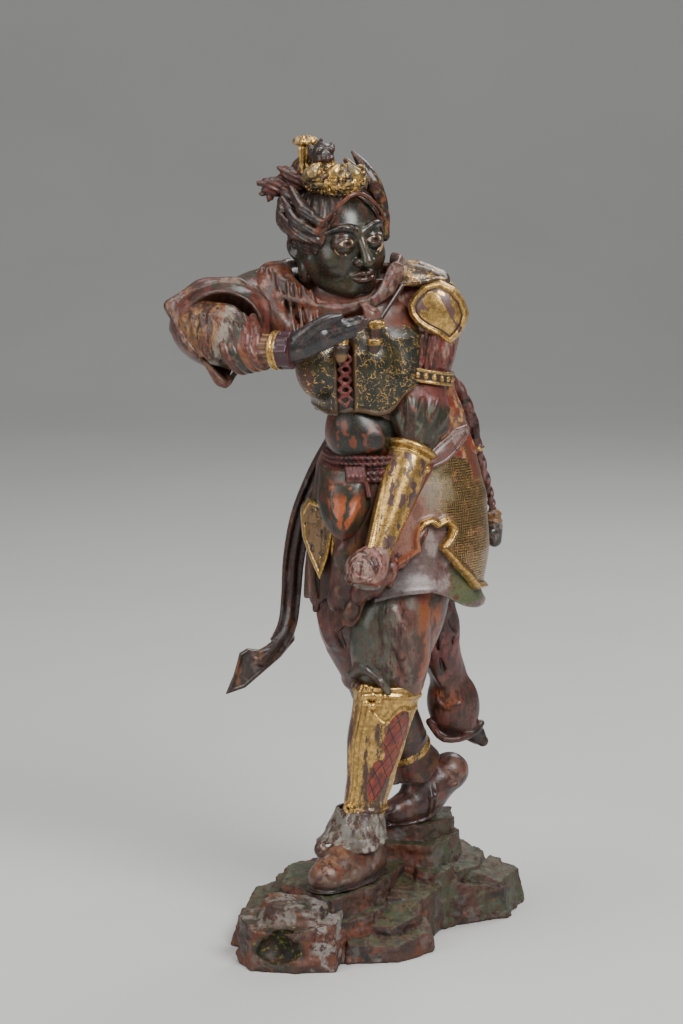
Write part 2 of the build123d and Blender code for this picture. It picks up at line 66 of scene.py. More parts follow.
MM = 1000.0                    # the sculpting works in millimetres, Blender in metres
FINE, MEDIUM = 0.9, 1.25      # grid steps
BLOCK = 4                      # grid steps per block of the sparse sampling
SLACK = 9.0                    # how far folds and blends may move a surface from its plain shape
FAR = 1e9                      # the distance to a shape with nothing in it yet
SMOOTHING = 10                 # passes that even out a surface before its relief is measured
CAMERA_DISTANCE, CAMERA_RISE = 3.4, 10.0   # metres from the aim, degrees above it
SENSOR, FRAME_HEIGHT = 36, 1.024           # the film in millimetres; metres seen from top to bottom
CAMERA_SIDE, CAMERA_HEIGHT = -38.5, 436    # the aim, in millimetres right of and above the origin


# ---------------------------------------------------------------- places and noise
def box(node):
    """Lowest and highest corner of a CAD node in millimetres."""
    low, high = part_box(node)
    return np.array(low) * MM, np.array(high) * MM


class Place:
    """The middle of a CAD node's box: with offsets from it come points, or single coordinates x, y and z."""

    def __init__(self, node):
        low, high = box(node)
        self.middle = (low + high) / 2

    def __call__(self, x, y, z):
        return np.array((x, y, z), float) + self.middle

    def x(self, offset):
        """The coordinate to the figure's left."""
        return offset + self.middle[0]

    def y(self, offset):
        """The coordinate toward the back."""
        return offset + self.middle[1]

    def z(self, offset):
        """The height."""
        return offset + self.middle[2]

    def base(self, x, y):
        """A point on the ground."""
        return np.array((self.x(x), self.y(y), 0))


def unit(v):
    """The vector scaled to length one."""
    v = np.array(v, float)
    return v / np.linalg.norm(v)


def lattice(i, seed):
    """A repeatable random number from 0 to 1 for each integer triple."""
    i = i.astype(np.int64)
    h = i[:, 0] * 374761393 + i[:, 1] * 668265263 + i[:, 2] * 2246822519 + seed * 3266489917
    h = (h ^ (h >> 13)) * 1274126177 & 0xFFFFFFFF
    return ((h ^ (h >> 16)) & 0xFFFFFF) / float(0xFFFFFF)


def noise(p, size, seed=0):
    """Smooth noise from -1 to 1 with features of the given size, which may differ by axis."""
    q = p / np.array(size, float)
    i = np.floor(q)
    f = q - i
    f = f * f * (3 - 2 * f)
    total = 0.0
    for corner in np.ndindex(2, 2, 2):
        weight = np.prod(np.where(corner, f, 1 - f), axis=1)
        total = total + weight * lattice(i + corner, seed)
    return total * 2 - 1


def fbm(p, size, octaves=3, seed=0):
    """Noise summed over octaves, from about -1 to 1."""
    total = sum(noise(p, np.array(size, float) / 2 ** k, seed + k) * 0.5 ** k for k in range(octaves))
    return total / (2 - 0.5 ** (octaves - 1))


# ---------------------------------------------------------------- distance fields
def smooth_min(a, b, k):
    """Union of two fields, filleted over k."""
    h = np.clip(0.5 + 0.5 * (b - a) / k, 0, 1)
    return b + (a - b) * h - k * h * (1 - h)


def smooth_max(a, b, k):
    """Intersection of two fields, rounded over k."""
    return -smooth_min(-a, -b, k)


def step(x, low, high):
    """Smooth step from 0 at low to 1 at high."""
    t = np.clip((x - low) / (high - low), 0, 1)
    return t * t * (3 - 2 * t)


def axes(z_dir, x_hint=(1, 0, 0)):
    """Rows of a turned frame whose last axis is z_dir."""
    z = unit(z_dir)
    y = unit(np.cross(z, x_hint))
    return np.array((np.cross(y, z), y, z))


def local(p, origin, frame_rows=None):
    """Points seen from origin, in a turned frame if one is given."""
    q = p - origin
    return q if frame_rows is None else q @ frame_rows.T


def ball(p, centre, radii, rows=None):
    """An ellipsoid, or a sphere when radii is one number."""
    q = local(p, centre, rows)
    if np.isscalar(radii):
        return np.linalg.norm(q, axis=1) - radii
    r = np.array(radii, float)
    k0 = np.linalg.norm(q / r, axis=1)
    k1 = np.linalg.norm(q / r ** 2, axis=1)
    return k0 * (k0 - 1) / np.maximum(k1, 1e-6)


def slab(p, centre, half, rows=None, rounding=1.0):
    """A box with rounded edges."""
    q = np.abs(local(p, centre, rows)) - (np.array(half, float) - rounding)
    return np.linalg.norm(np.maximum(q, 0), axis=1) + np.minimum(q.max(axis=1), 0) - rounding


def ring(p, centre, radius, thick, rows=None, squash=1.0):
    """A torus round the frame's last axis; squash narrows it along the second."""
    q = local(p, centre, rows)
    around = np.hypot(q[:, 0], q[:, 1] / squash) - radius
    return np.hypot(around, q[:, 2]) - thick


def curve(points, count=12):
    """A smooth line through the points, as count + 1 points."""
    pts = np.array(points, float)
    pts = np.vstack([2 * pts[0] - pts[1], pts, 2 * pts[-1] - pts[-2]])
    spans = len(pts) - 3
    out = []
    for s in np.linspace(0, spans - 1e-6, count + 1):
        i, t = int(s), s % 1
        a, b, c, d = pts[i:i + 4]
        out.append(0.5 * (2 * b + (c - a) * t + (2 * a - 5 * b + 4 * c - d) * t ** 2
                          + (3 * b - a - 3 * c + d) * t ** 3))
    return np.array(out)


def along(p, line):
    """For each point its distance to a line, how far along (0 to 1) and the nearest place on it."""
    best = np.full(len(p), FAR)
    share = np.zeros(len(p))
    foot = np.zeros_like(p)
    spans = len(line) - 1
    for i in range(spans):
        a, ab = line[i], line[i + 1] - line[i]
        t = np.clip((p - a) @ ab / max(ab @ ab, 1e-9), 0, 1)
        near = a + t[:, None] * ab
        d = np.linalg.norm(p - near, axis=1)
        closer = d < best
        best = np.where(closer, d, best)
        share = np.where(closer, (i + t) / spans, share)
        foot = np.where(closer[:, None], near, foot)
    return best, share, foot


def limb(p, points, radii, count=10, flat=None, ratio=1.0):
    """A rounded tube along a smooth line; flat is a direction in which it is thinner by ratio."""
    line = curve(points, count)
    if flat is not None:
        squeeze = unit(flat)
        p = p + np.outer(p @ squeeze, squeeze) * (1 / ratio - 1)
        line = line + np.outer(line @ squeeze, squeeze) * (1 / ratio - 1)
    d, share, _ = along(p, line)
    radius = np.interp(share, np.linspace(0, 1, len(radii)), radii)
    return (d - radius) * (1 if flat is None else min(1, ratio) ** 0.5)


def fold(p, d, points, width, height, count=8, fade=True):
    """Raises (or with a negative height sinks) a soft ridge along a line drawn on the surface."""
    line = curve(points, count) if len(points) > 2 else np.array(points, float)
    reach = 2.6 * width
    near = np.all((p > line.min(0) - reach) & (p < line.max(0) + reach), axis=1) & (np.abs(d) < SLACK + 6)
    if not near.any():
        return d
    away, share, _ = along(p[near], line)
    lift = height * np.exp(-(away / width) ** 2)
    if fade:
        lift = lift * np.minimum(1, 3.2 * np.sqrt(np.clip(share * (1 - share), 0, 1)))
    out = d.copy()
    out[near] -= lift
    return out


def folds(p, d, starts, ends, count, width, height, bow=(0, 0, 0)):
    """A fan of folds: each runs from a point of the line starts to the same share of the line ends."""
    a, b = curve(starts, count - 1), curve(ends, count - 1)
    for i in range(count):
        middle = (a[i] + b[i]) / 2 + np.array(bow, float)
        lift = height * (0.75 + 0.5 * ((i * 7) % 4) / 3)
        d = fold(p, d, (a[i], middle, b[i]), width, lift, 6)
    return d


def outline(p, corners, across=(0, 2)):
    """Signed distance to a polygon drawn in two of the three axes, the same at every depth."""
    q = p[:, across]
    pts = np.array(corners, float)
    best = np.full(len(q), FAR)
    inside = np.zeros(len(q), bool)
    for a, b in zip(pts, np.roll(pts, -1, axis=0)):
        ab = b - a
        t = np.clip((q - a) @ ab / (ab @ ab), 0, 1)
        best = np.minimum(best, np.linalg.norm(q - a - t[:, None] * ab, axis=1))
        crosses = (a[1] > q[:, 1]) != (b[1] > q[:, 1])
        x_at = a[0] + (q[:, 1] - a[1]) / (b[1] - a[1] if b[1] != a[1] else 1e-9) * ab[0]
        inside ^= crosses & (q[:, 0] < x_at)
    return np.where(inside, -best, best)


def shell(d, thick):
    """A skin of the given thickness round a field's surface."""
    return np.abs(d) - thick / 2


def column(p, levels):
    """An upright body whose level sections are ellipses; levels holds (x, y, z, half_x, half_y)."""
    # edges sets the painted highlight on the ridges, kept weak on the face
    t = np.array(levels, float)
    t = t[np.argsort(t[:, 2])]
    z = p[:, 2]
    smooth_z = np.interp(z, t[:, 2], np.arange(len(t)))
    i = np.clip(smooth_z.astype(int), 0, len(t) - 2)
    f = smooth_z - i
    f = f * f * (3 - 2 * f) * 0.5 + f * 0.5
    row = t[i] * (1 - f[:, None]) + t[i + 1] * f[:, None]
    q = np.stack(((p[:, 0] - row[:, 0]) / row[:, 3], (p[:, 1] - row[:, 1]) / row[:, 4]), axis=1)
    k = np.linalg.norm(q, axis=1)
    side = (k - 1) * np.minimum(row[:, 3], row[:, 4])
    angle = np.arctan2(q[:, 1], q[:, 0])
    return side, angle


def between(p, low, high, axis=2):
    """Distance outside the slice of space from low to high."""
    return np.maximum(low - p[:, axis], p[:, axis] - high)


def mirrored(p):
    """The points folded over onto the left side, for shapes that are the same on both sides."""
    return p * (0, 1, 1) + np.abs(p[:, :1]) * (1, 0, 0)


def creases(p, d, at, *rows):
    """Several folds in turn; a row holds the width, the height and the places that its line runs through."""
    for width, height, *line in rows:
        d = fold(p, d, [at(*place) for place in line], width, height)
    return d


# ---------------------------------------------------------------- meshing
def sample(shape, low, high, size):
    """The field on a regular grid, worked out closely only in blocks near its surface."""
    counts = np.ceil((high - low) / (size * BLOCK)).astype(int) + 1
    cells = np.stack(np.meshgrid(*[np.arange(c) for c in counts], indexing="ij"), -1).reshape(-1, 3)
    centres = low + (cells * BLOCK + (BLOCK - 1) / 2) * size
    rough = shape(centres)
    near = np.abs(rough) < size * BLOCK + SLACK
    inner = np.stack(np.meshgrid(*[np.arange(BLOCK)] * 3, indexing="ij"), -1).reshape(-1, 3)
    grid = np.repeat(rough[:, None], BLOCK ** 3, axis=1)
    fine = low + (cells[near][:, None] * BLOCK + inner[None]) * size
    grid[near] = shape(fine.reshape(-1, 3)).reshape(-1, BLOCK ** 3)
    grid = grid.reshape(*counts, BLOCK, BLOCK, BLOCK).transpose(0, 3, 1, 4, 2, 5)
    return grid.reshape(counts * BLOCK)


def mesh_of(shape, low, high, size):
    """Points and faces of a field's surface."""
    values = vdb.FloatGrid(SLACK)
    values.copyFromArray(sample(shape, low, high, size).astype(np.float32))
    points, triangles, quads = values.convertToPolygons(0.0, 0.0)
    return points * size + low, np.asarray(triangles), np.asarray(quads)


def normals_of(points, quads):
    """Unit normals at the points of a quad mesh."""
    a, b, c, d = (points[quads[:, k]] for k in range(4))
    face = np.cross(c - a, d - b)
    total = np.zeros_like(points)
    for k in range(4):
        for axis in range(3):
            total[:, axis] += np.bincount(quads[:, k], face[:, axis], len(points))
    return total / np.maximum(np.linalg.norm(total, axis=1), 1e-9)[:, None]


def relief_of(points, quads, normals, size):
    """How far each point stands out from its smoothed surroundings: edges above 0, hollows below."""
    smooth = points.copy()
    pairs = np.concatenate([quads[:, (k, (k + 1) % 4)] for k in range(4)])
    degree = np.maximum(np.bincount(pairs[:, 0], minlength=len(points)), 1)[:, None]
    for _ in range(SMOOTHING):
        total = np.stack([np.bincount(pairs[:, 0], smooth[pairs[:, 1], axis], len(points))
                          for axis in range(3)], axis=1)
        smooth = 0.4 * smooth + 0.6 * total / degree
    return np.clip(np.einsum("ij,ij->i", points - smooth, normals) / size, -2, 2)


def piece(name, body, shape, low, high, size, material, paint, replaces=()):
    """Meshes a field, paints its points and ties it to a CAD body in place of the CAD nodes named."""
    points, _, quads = mesh_of(shape, np.array(low, float), np.array(high, float), size)
    points = points.astype(float)
    normals = normals_of(points, quads)
    mesh = bpy.data.meshes.new(name)
    mesh.vertices.add(len(points))
    mesh.vertices.foreach_set("co", (points / MM).astype(np.float32).ravel())
    mesh.loops.add(quads.size)
    mesh.loops.foreach_set("vertex_index", quads.astype(np.int32).ravel())
    mesh.polygons.add(len(quads))
    mesh.polygons.foreach_set("loop_start", np.arange(0, quads.size, 4, dtype=np.int32))
    mesh.polygons.foreach_set("use_smooth", np.ones(len(quads), bool))
    mesh.update(calc_edges=True)
    tint, leaf, lay = paint(points, normals)
    relief = relief_of(points, quads, normals, size)
    put(mesh, "tint", "FLOAT_COLOR", np.concatenate([tint, np.ones((len(points), 1))], axis=1))
    put(mesh, "leaf", "FLOAT", np.broadcast_to(leaf, len(points)))
    put(mesh, "lay", "FLOAT_VECTOR", lay)
    put(mesh, "relief", "FLOAT", relief)
    made = bpy.data.objects.new(name, mesh)
    bpy.context.scene.collection.objects.link(made)
    made.data.materials.append(material)
    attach(made, body)
    if replaces:
        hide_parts(*replaces)
    return made


def carved(node, body, shape, below, above, size, material, paint, name=None, also=()):
    """A piece that takes a CAD node's place: below and above say how far it may pass the node's box."""
    low, high = box(node)
    return piece(name or node + "_carved", body, shape, low - below, high + above, size, material, paint,
                 [node, *also])


def put(mesh, name, kind, values):
    """Stores one value per point on the mesh."""
    layer = mesh.attributes.new(name, kind, "POINT")
    field = {"FLOAT": "value", "FLOAT_VECTOR": "vector", "FLOAT_COLOR": "color"}[kind]
    layer.data.foreach_set(field, np.asarray(values, np.float32).ravel())


# ---------------------------------------------------------------- colours
def rgb(r, g, b):
    """A colour given as on a paint card, 0 to 255, in the linear values that the renderer uses."""
    c = np.array((r, g, b)) / 255
    return np.where(c <= 0.04045, c / 12.92, ((c + 0.055) / 1.055) ** 2.4)


LACQUER = rgb(38, 27, 23)
UNDERCOAT = rgb(146, 62, 36)
CRIMSON = rgb(116, 38, 32)
GREY = rgb(132, 122, 112)
GREEN = rgb(40, 46, 34)
GOLD = rgb(208, 166, 96)
TAN = rgb(158, 122, 78)


def coat(q, r, g, b):
    """One colour for every point."""
    return np.tile(rgb(r, g, b), (len(q), 1))


def sheet(x, z, share):
    """Pattern coordinates along and up the surface, and how far the pattern shows."""
    return np.stack(np.broadcast_arrays(x, z, share), axis=1)


def blend(base, *layers):
    """Lays colours over a base; each layer is (colour, mask)."""
    out = base
    for colour, mask in layers:
        m = np.asarray(mask, float)
        m = m[:, None] if m.ndim else m
        out = out * (1 - m) + np.asarray(colour) * m
    return out


def patch(p, size, amount, seed, edge=0.16):
    """A ragged blotchy mask covering about the given share of the surface."""
    level = 0.9 * (0.5 - amount)
    warped = p + 2.5 * noise(p, 5.0, seed + 50)[:, None]
    return step(fbm(warped, size, 4, seed), level - edge, level + edge)


def blotch(q, colour, size, amount, seed, strength=1.0):
    """A layer of ragged patches of a colour."""
    return rgb(*colour), strength * patch(q, size, amount, seed)


# ---------------------------------------------------------------- materials
class Value:
    """The output of a shader node, to be reckoned with like a number."""

    def __init__(self, shader, socket):
        self.shader = shader
        self.socket = socket

    def __add__(self, other):
        return self.shader.math("ADD", self, other)

    def __radd__(self, other):
        return self.shader.math("ADD", other, self)

    def __sub__(self, other):
        return self.shader.math("SUBTRACT", self, other)

    def __rsub__(self, other):
        return self.shader.math("SUBTRACT", other, self)

    def __mul__(self, other):
        return self.shader.math("MULTIPLY", self, other)

    def __abs__(self):
        return self.shader.math("ABSOLUTE", self)

    def most(self, other):
        """The greater of the two."""
        return self.shader.math("MAXIMUM", self, other)

    def parts(self):
        """All outputs of the node."""
        return [Value(self.shader, socket) for socket in self.socket.node.outputs]


class Shader:
    """A short way to write a node material."""

    def __init__(self, name):
        self.material = bpy.data.materials.new(name)
        self.material.use_nodes = True
        self.tree = self.material.node_tree
        self.surface = self.tree.nodes["Principled BSDF"]
        self.place = Value(self, self.tree.nodes.new("ShaderNodeTexCoord").outputs["Object"])

    def node(self, kind, *inputs, output=0, **settings):
        """Adds a node, sets or links its inputs in order, and gives one of its outputs."""
        made = self.tree.nodes.new("ShaderNode" + kind)
        for key, value in settings.items():
            setattr(made, key, value)
        for socket, value in zip([s for s in made.inputs if s.enabled], inputs):
            self.set(socket, value)
        return Value(self, made.outputs[output])

    def set(self, socket, value):
        """Links a socket or gives it a fixed value."""
        if isinstance(value, Value):
            self.tree.links.new(value.socket, socket)
        elif socket.type == "RGBA":
            socket.default_value = (*value[:3], 1.0)
        else:
            socket.default_value = value

    def math(self, operation, *inputs):
        """A maths node."""
        return self.node("Math", *inputs, operation=operation)

    def mix(self, share, a, b):
        """Colour b over colour a."""
        made = self.tree.nodes.new("ShaderNodeMix")
        made.data_type = "RGBA"
        self.set(made.inputs[0], share)
        self.set(made.inputs[6], a)
        self.set(made.inputs[7], b)
        return Value(self, made.outputs[2])

    def noise(self, size_mm, detail=4.0, rough=0.55, stretch=(1, 1, 1), seed=0.0):
        """Noise from 0 to 1 whose features are about size_mm across."""
        scaled = self.node("Mapping", self.place, (seed, seed * 0.7, 0), (0, 0, 0), stretch)
        return self.node("TexNoise", scaled, MM / size_mm, detail, rough)

    def ramp(self, value, low, high):
        """0 below low, 1 above high, smooth between."""
        made = self.tree.nodes.new("ShaderNodeMapRange")
        made.interpolation_type = "SMOOTHSTEP"
        for socket, v in zip(made.inputs, (value, low, high, 0.0, 1.0)):
            self.set(socket, v)
        return Value(self, made.outputs[0])

    def attribute(self, name, output):
        """A value stored on the mesh."""
        made = self.tree.nodes.new("ShaderNodeAttribute")
        made.attribute_name = name
        return Value(self, made.outputs[output])

    def lay(self, cell):
        """The pattern coordinates, counted in cells of the given size in millimetres."""
        return self.node("VectorMath", self.attribute("lay", "Vector"), (1 / cell,) * 3, operation="MULTIPLY")

    def shaded(self, tint, shade):
        """A colour made darker or lighter by a number."""
        return self.node("VectorMath", tint, self.node("CombineXYZ", shade, shade, shade),
                         operation="MULTIPLY")

    def finish(self, colour, roughness, metallic=0.0, height=None, depth=0.3, coat=0.0):
        """Joins up the surface; height is bumped by depth in millimetres."""
        self.set(self.surface.inputs["Base Color"], colour)
        self.set(self.surface.inputs["Roughness"], roughness)
        self.set(self.surface.inputs["Metallic"], metallic)
        self.set(self.surface.inputs["Coat Weight"], coat)
        self.set(self.surface.inputs["Coat Roughness"], 0.25)
        if height is not None:
            bump = self.tree.nodes.new("ShaderNodeBump")
            bump.inputs["Distance"].default_value = depth / MM
            bump.inputs["Strength"].default_value = 1.0
            self.set(bump.inputs["Height"], height)
            self.set(self.surface.inputs["Normal"], Value(self, bump.outputs[0]))
        return self.material


def scroll_lines(s):
    """Thin winding scrolls, as where a soft noise crosses its middle."""
    wide = s.ramp(abs(s.noise(6.5, 1.0, 0.4) - 0.5), 0.024, 0.008)
    narrow = s.ramp(abs(s.noise(4.5, 1.0, 0.4, seed=3.1) - 0.47), 0.02, 0.006)
    return wide.most(narrow) * s.ramp(s.noise(6, 2.0, seed=7.0), 0.46, 0.54)


def maze_lines(s, cell=2.6):
    """A labyrinth of short straight lines: each cell takes a line one way or the other."""
    flat = s.lay(cell)
    across, up, _ = s.node("SeparateXYZ", s.node("VectorMath", flat, operation="FRACTION")).parts()
    chosen = s.ramp(s.node("TexWhiteNoise", s.node("VectorMath", flat, operation="FLOOR")), 0.49, 0.51)
    return s.ramp(abs(across * chosen + up * (1.0 - chosen) - 0.5), 0.26, 0.16)


def lattice_lines(s, cell=11.0):
    """Crossed slanting lines."""
    x, y, _ = s.node("SeparateXYZ", s.lay(cell)).parts()
    rising, falling = (s.ramp(abs(s.math("FRACT", x + y * slope) - 0.5), 0.42,
                              0.46) for slope in (0.62, -0.62))
    return rising.most(falling)


def painted(name, ground=LACQUER, lines=None, ink=GOLD, ink_leaf=0.8, flake=0.46, worn=0.5, rough=0.3,
            grain=(1, 1, 0.3), edges=0.4):
    """Pigment and gold leaf on lacquered wood, flaked to a dark ground and crazed, with painted shade and
    dirt in the hollows and a painted highlight on the ridges.
    """
    s = Shader(name)
    tint, leaf, relief = s.attribute("tint", "Color"), s.attribute("leaf", "Fac"), s.attribute("relief",
                                                                                               "Fac")
    broad, chips = s.noise(30, 6.0, 0.6, grain, 1.0), s.noise(7, 9.0, 0.76, grain, 2.0)
    fine, grit = s.noise(2.8, 6.0, 0.68), s.noise(0.8, 3.0, 0.6)
    colour = s.shaded(tint, 0.24 + (fine + broad) * 0.62)

    # drawn patterns
    if lines is not None:
        kept = s.ramp(s.noise(7, 6.0, 0.6, seed=5.0) + grit * 0.15, 0.40, 0.48)
        where = s.node("SeparateXYZ", s.attribute("lay", "Vector")).parts()[2]
        drawn = lines(s) * kept * where
        colour = s.mix(drawn, colour, ink)
        leaf = leaf.most(drawn * ink_leaf)

    # paint flaked off, most on what stands out
    wear = chips * 0.7 + broad * 0.3 + relief.most(0.0) * 0.12
    rim = s.ramp(wear, 0.985 - flake, 1.0 - flake)
    bare = s.ramp(wear, 1.0 - flake, 1.012 - flake)
    colour = s.mix(rim * 0.55, colour, UNDERCOAT * 0.7)
    colour = s.mix(bare * 0.88, colour, s.mix(fine, ground * 0.6, ground * 2.4))

    # gold leaf, rubbed through in places
    leaf_noise = s.noise(12, 9.0, 0.74, grain, 4.0) * 0.8 + grit * 0.2
    gilt = s.ramp(leaf - leaf_noise, -0.02, 0.03)
    gold = s.mix(s.ramp(s.noise(4, 5.0, seed=9.0), 0.38, 0.66), GOLD * 0.66, GOLD * 1.2)
    rubbed = gilt * s.ramp(s.noise(2.6, 6.0, 0.72, grain, 11.0), worn - 0.17, worn - 0.09)
    colour = s.mix(rubbed, colour, gold)

    # fine cracks, painted shade with dirt in the hollows, a painted highlight on the ridges, and flecks
    craze = s.ramp(abs(s.noise(6, 7.0, 0.7, (1, 1, 0.22), 13.0) - 0.5), 0.012, 0.003)
    colour = s.mix(craze * 0.5, colour, LACQUER * 0.4)
    # painted shade, with dirt, darkens the hollows
    colour = s.mix(s.ramp(relief, -0.08, -0.8) * 0.85, colour, LACQUER * 0.35)
    # a painted highlight in tan lightens the ridges, as strong as edges says
    colour = s.mix(s.ramp(relief, 0.3, 1.1) * s.ramp(fine, 0.48, 0.62) * edges, colour, TAN)
    colour = s.mix(s.ramp(s.noise(1.5, 4.0, 0.6, seed=15.0), 0.62, 0.66) * 0.4, colour, TAN * 0.7)

    roughness = (fine + grit) * 0.24 + (rough - 0.2) - rubbed * 0.08
    height = (1.0 - bare) * 0.5 + (grit * 0.3 + fine * 0.5)
    return s.finish(colour, roughness, rubbed * 0.85, height, 0.24, max(0.0, 0.45 - rough))


def plain_wood(name, colour):
    """Bare wood with grain running up it."""
    s = Shader(name)
    rings = s.noise(3, 6.0, 0.6, (1, 1, 0.08))
    tone = s.mix(s.ramp(rings, 0.35, 0.65), colour * 0.6, colour)
    return s.finish(tone, rings * 0.2 + 0.55, 0.0, rings, 0.2)


def forged_iron(name):
    """Dark hammered iron with rust."""
    s = Shader(name)
    mottle = s.noise(4, 6.0, 0.7)
    tone = s.mix(s.ramp(mottle, 0.5, 0.65), rgb(44, 42, 42), rgb(96, 54, 34))
    return s.finish(tone, 0.6, s.ramp(mottle, 0.6, 0.45), mottle, 0.3)


def rock_crystal(name):
    """Clear crystal, slightly cloudy."""
    s = Shader(name)
    cloud = s.noise(3, 3.0)
    tone = s.mix(cloud, rgb(232, 226, 206), rgb(206, 196, 172))
    return s.finish(tone, cloud * 0.12, 0.0, cloud, 0.02, coat=1.0)


def paper(name):
    """Soft white paper."""
    s = Shader(name)
    fibre = s.noise(1.5, 6.0, 0.7)
    return s.finish(s.mix(fibre, rgb(236, 230, 214), rgb(206, 198, 178)), 0.9, 0.0, fibre, 0.05)


def painted_crystal(name):
    """Polished crystal over a painted iris: the colours come from the points, under a clear coat."""
    s = Shader(name)
    cloud = s.noise(2.5, 3.0)
    colour = s.shaded(s.attribute("tint", "Color"), 0.85 + cloud * 0.25)
    return s.finish(colour, cloud * 0.15, 0.0, cloud, 0.01, coat=1.0)


# ---------------------------------------------------------------- the rock base
def plan(at, *corners):
    """Corners of an outline seen from above, from offsets to a node's middle."""
    return [at(x, y, 0)[:2] for x, y in corners]


def front(at, *corners):
    """Corners of an outline seen from the front, from offsets to a node's middle."""
    return [at(x, 0, z)[[0, 2]] for x, z in corners]


def block(q, corners, top, slope=(0, 0), batter=0.12):
    """A rock block: an outline seen from above, a tilted top, sides that spread downward."""
    middle = np.mean(corners, axis=0)
    lid = q[:, 2] - top - (q[:, 0] - middle[0]) * slope[0] - (q[:, 1] - middle[1]) * slope[1]
    side = outline(q, corners, (0, 1)) - batter * (top - q[:, 2])
    return np.maximum(side, lid)


def chiselled(q, d, seed):
    """Breaks a rock's faces into shallow facets and small chips."""
    d = d + 3.6 * np.abs(noise(q, (24, 24, 17), seed)) + 1.8 * np.abs(noise(q, (11, 11, 8), seed + 1))
    d = d + 0.9 * np.abs(noise(q, 4.5, seed + 2)) + 0.4 * noise(q, 2.2, seed + 3)
    return smooth_max(d - 2.2, -q[:, 2], 0.8)


def rock_paint(q, n, seed, moss=1.0):
    """Green pigment on the upward faces, rust-red and brown on the sides, broken facet by facet."""
    facet = noise(q, (26, 26, 20), seed + 4)
    right = step(q[:, 0], 40, 70)
    base = blend(coat(q, 64, 50, 42), (rgb(102, 56, 38), (1 - 0.6 * right) * step(facet, -0.2, 0.3)),
                 (rgb(46, 42, 38), step(facet, -0.1, -0.5)),
                 (rgb(128, 66, 38), 0.8 * patch(q, (9, 9, 5), 0.12, seed)),
                 (rgb(70, 74, 54), right * patch(q, 30, 0.7, seed + 1)),
                 (rgb(98, 92, 88), 0.7 * patch(q, 12, 0.2, seed + 2)))
    up = step(n[:, 2], 0.5, 0.85) * moss
    return blend(base, (rgb(74, 80, 54), up * 0.9), (rgb(92, 74, 54), 0.8 * up * patch(q, 12, 0.3, seed + 6)),
                 (rgb(42, 44, 34), 0.8 * up * patch(q, 8, 0.25, seed + 7)))


# Each rock's seed, the ends of its room from the middle of its CAD node, and its stones: the height of the
# top, its slope, how far the sides spread downward, and the corners seen from above
ROCKS = {
    "base_main_rock": (2, (-87, -97), (83, 101, 38), (
        (64, (0, 0), 0.02, (-65, -13), (-13, -75), (29, -31), (62, 61), (41, 87), (-25, 89), (-60, 51)),
        (44, (0, 0.1), 0.22, (-53, -31), (-15, -77), (27, -49), (55, 7), (-5, 17)),
        (30, (0.1, 0.1), 0.3, (-5, -73), (35, -43), (59, 3), (25, 7)))),
    "base_rear_rock": (3, (-67, -62), (55, 62, 63.5), (
        (84, (0.02, 0.05), 0.1, (-43, -32), (5, -38), (21, -20), (35, 14), (25, 48), (-37, 50), (-53, 10)),
        (100, (0.0, 0.02), 0.04, (-45, -18), (-5, -24), (29, 8), (27, 46), (-33, 46), (-45, 14)),
        (60, (-0.1, 0.2), 0.2, (-9, -48), (13, -52), (29, -26), (11, -10), (-13, -22)))),
    "base_front_slab": (7, (-55, -56), (65, 112, 47), (
        (24, (-0.1, 0.25), 0.25, (-45, -18), (-39, -44), (7, -38), (41, -6), (39, 20), (-9, 30)),
        (38, (-0.05, 0.3), 0.12, (-23, -18), (3, -22), (29, 2), (35, 36), (-9, 40)),
        (48, (-0.15, 0.1), 0.1, (-1, 20), (37, 34), (53, 70), (45, 98), (11, 100)))),
    "base_right_rock": (11, (-60.5, -44), (67.5, 96, 46), (
        (38, (-0.2, 0.0), 0.2, (-48.5, -32), (-16.5, -18), (35.5, 8), (53.5, 72), (27.5, 84), (-32.5, 50)),
        (58, (-0.25, 0.15), 0.1, (-36.5, -12), (-12.5, -6), (9.5, 20), (19.5, 66), (-8.5, 78), (-34.5, 44)),
        (46, (0.1, 0.1), 0.12, (-40.5, -16), (-22.5, -20), (-0.5, 6), (-16.5, 28), (-40.5, 14)),
        (42, (-0.4, 0.1), 0.2, (-0.5, 8), (33.5, 12), (53.5, 70), (25.5, 80)))),
    "base_left_rock": (13, (-68, -100.2), (64, 81.8, 43), (
        (34, (0.12, 0), 0.22, (-54, -68.2), (-16, -86.2), (28, -54.2), (48, 35.8), (18, 67.8), (-38, 35.8)),
        (50, (0.15, 0), 0.12, (-24, -68.2), (4, -80.2), (28, -24.2), (22, 45.8), (-16, 25.8)))),
    "base_back_rock": (17, (-59.2, -53), (60.8, 49, 29), (
        (34, (0, -0.1), 0.15, (-45.2, -47), (34.8, -47), (46.8, 13), (24.8, 35), (-31.2, 27)),)),
    "base_front_boulder": (5, (-63.5, -42.9), (58.5, 43.1, 43), (
        (46, (0.05, 0.2), 0.06, (-53.5, 7.1), (-39.5, -24.9), (2.5, -34.9), (40.5, -28.9), (48.5, 11.1),
         (24.5, 33.1), (-33.5, 31.1)),
        (62, (-0.05, 0.1), 0.3, (-31.5, 5.1), (-17.5, -12.9), (22.5, -8.9), (36.5, 15.1), (16.5, 29.1),
         (-21.5, 27.1))))}


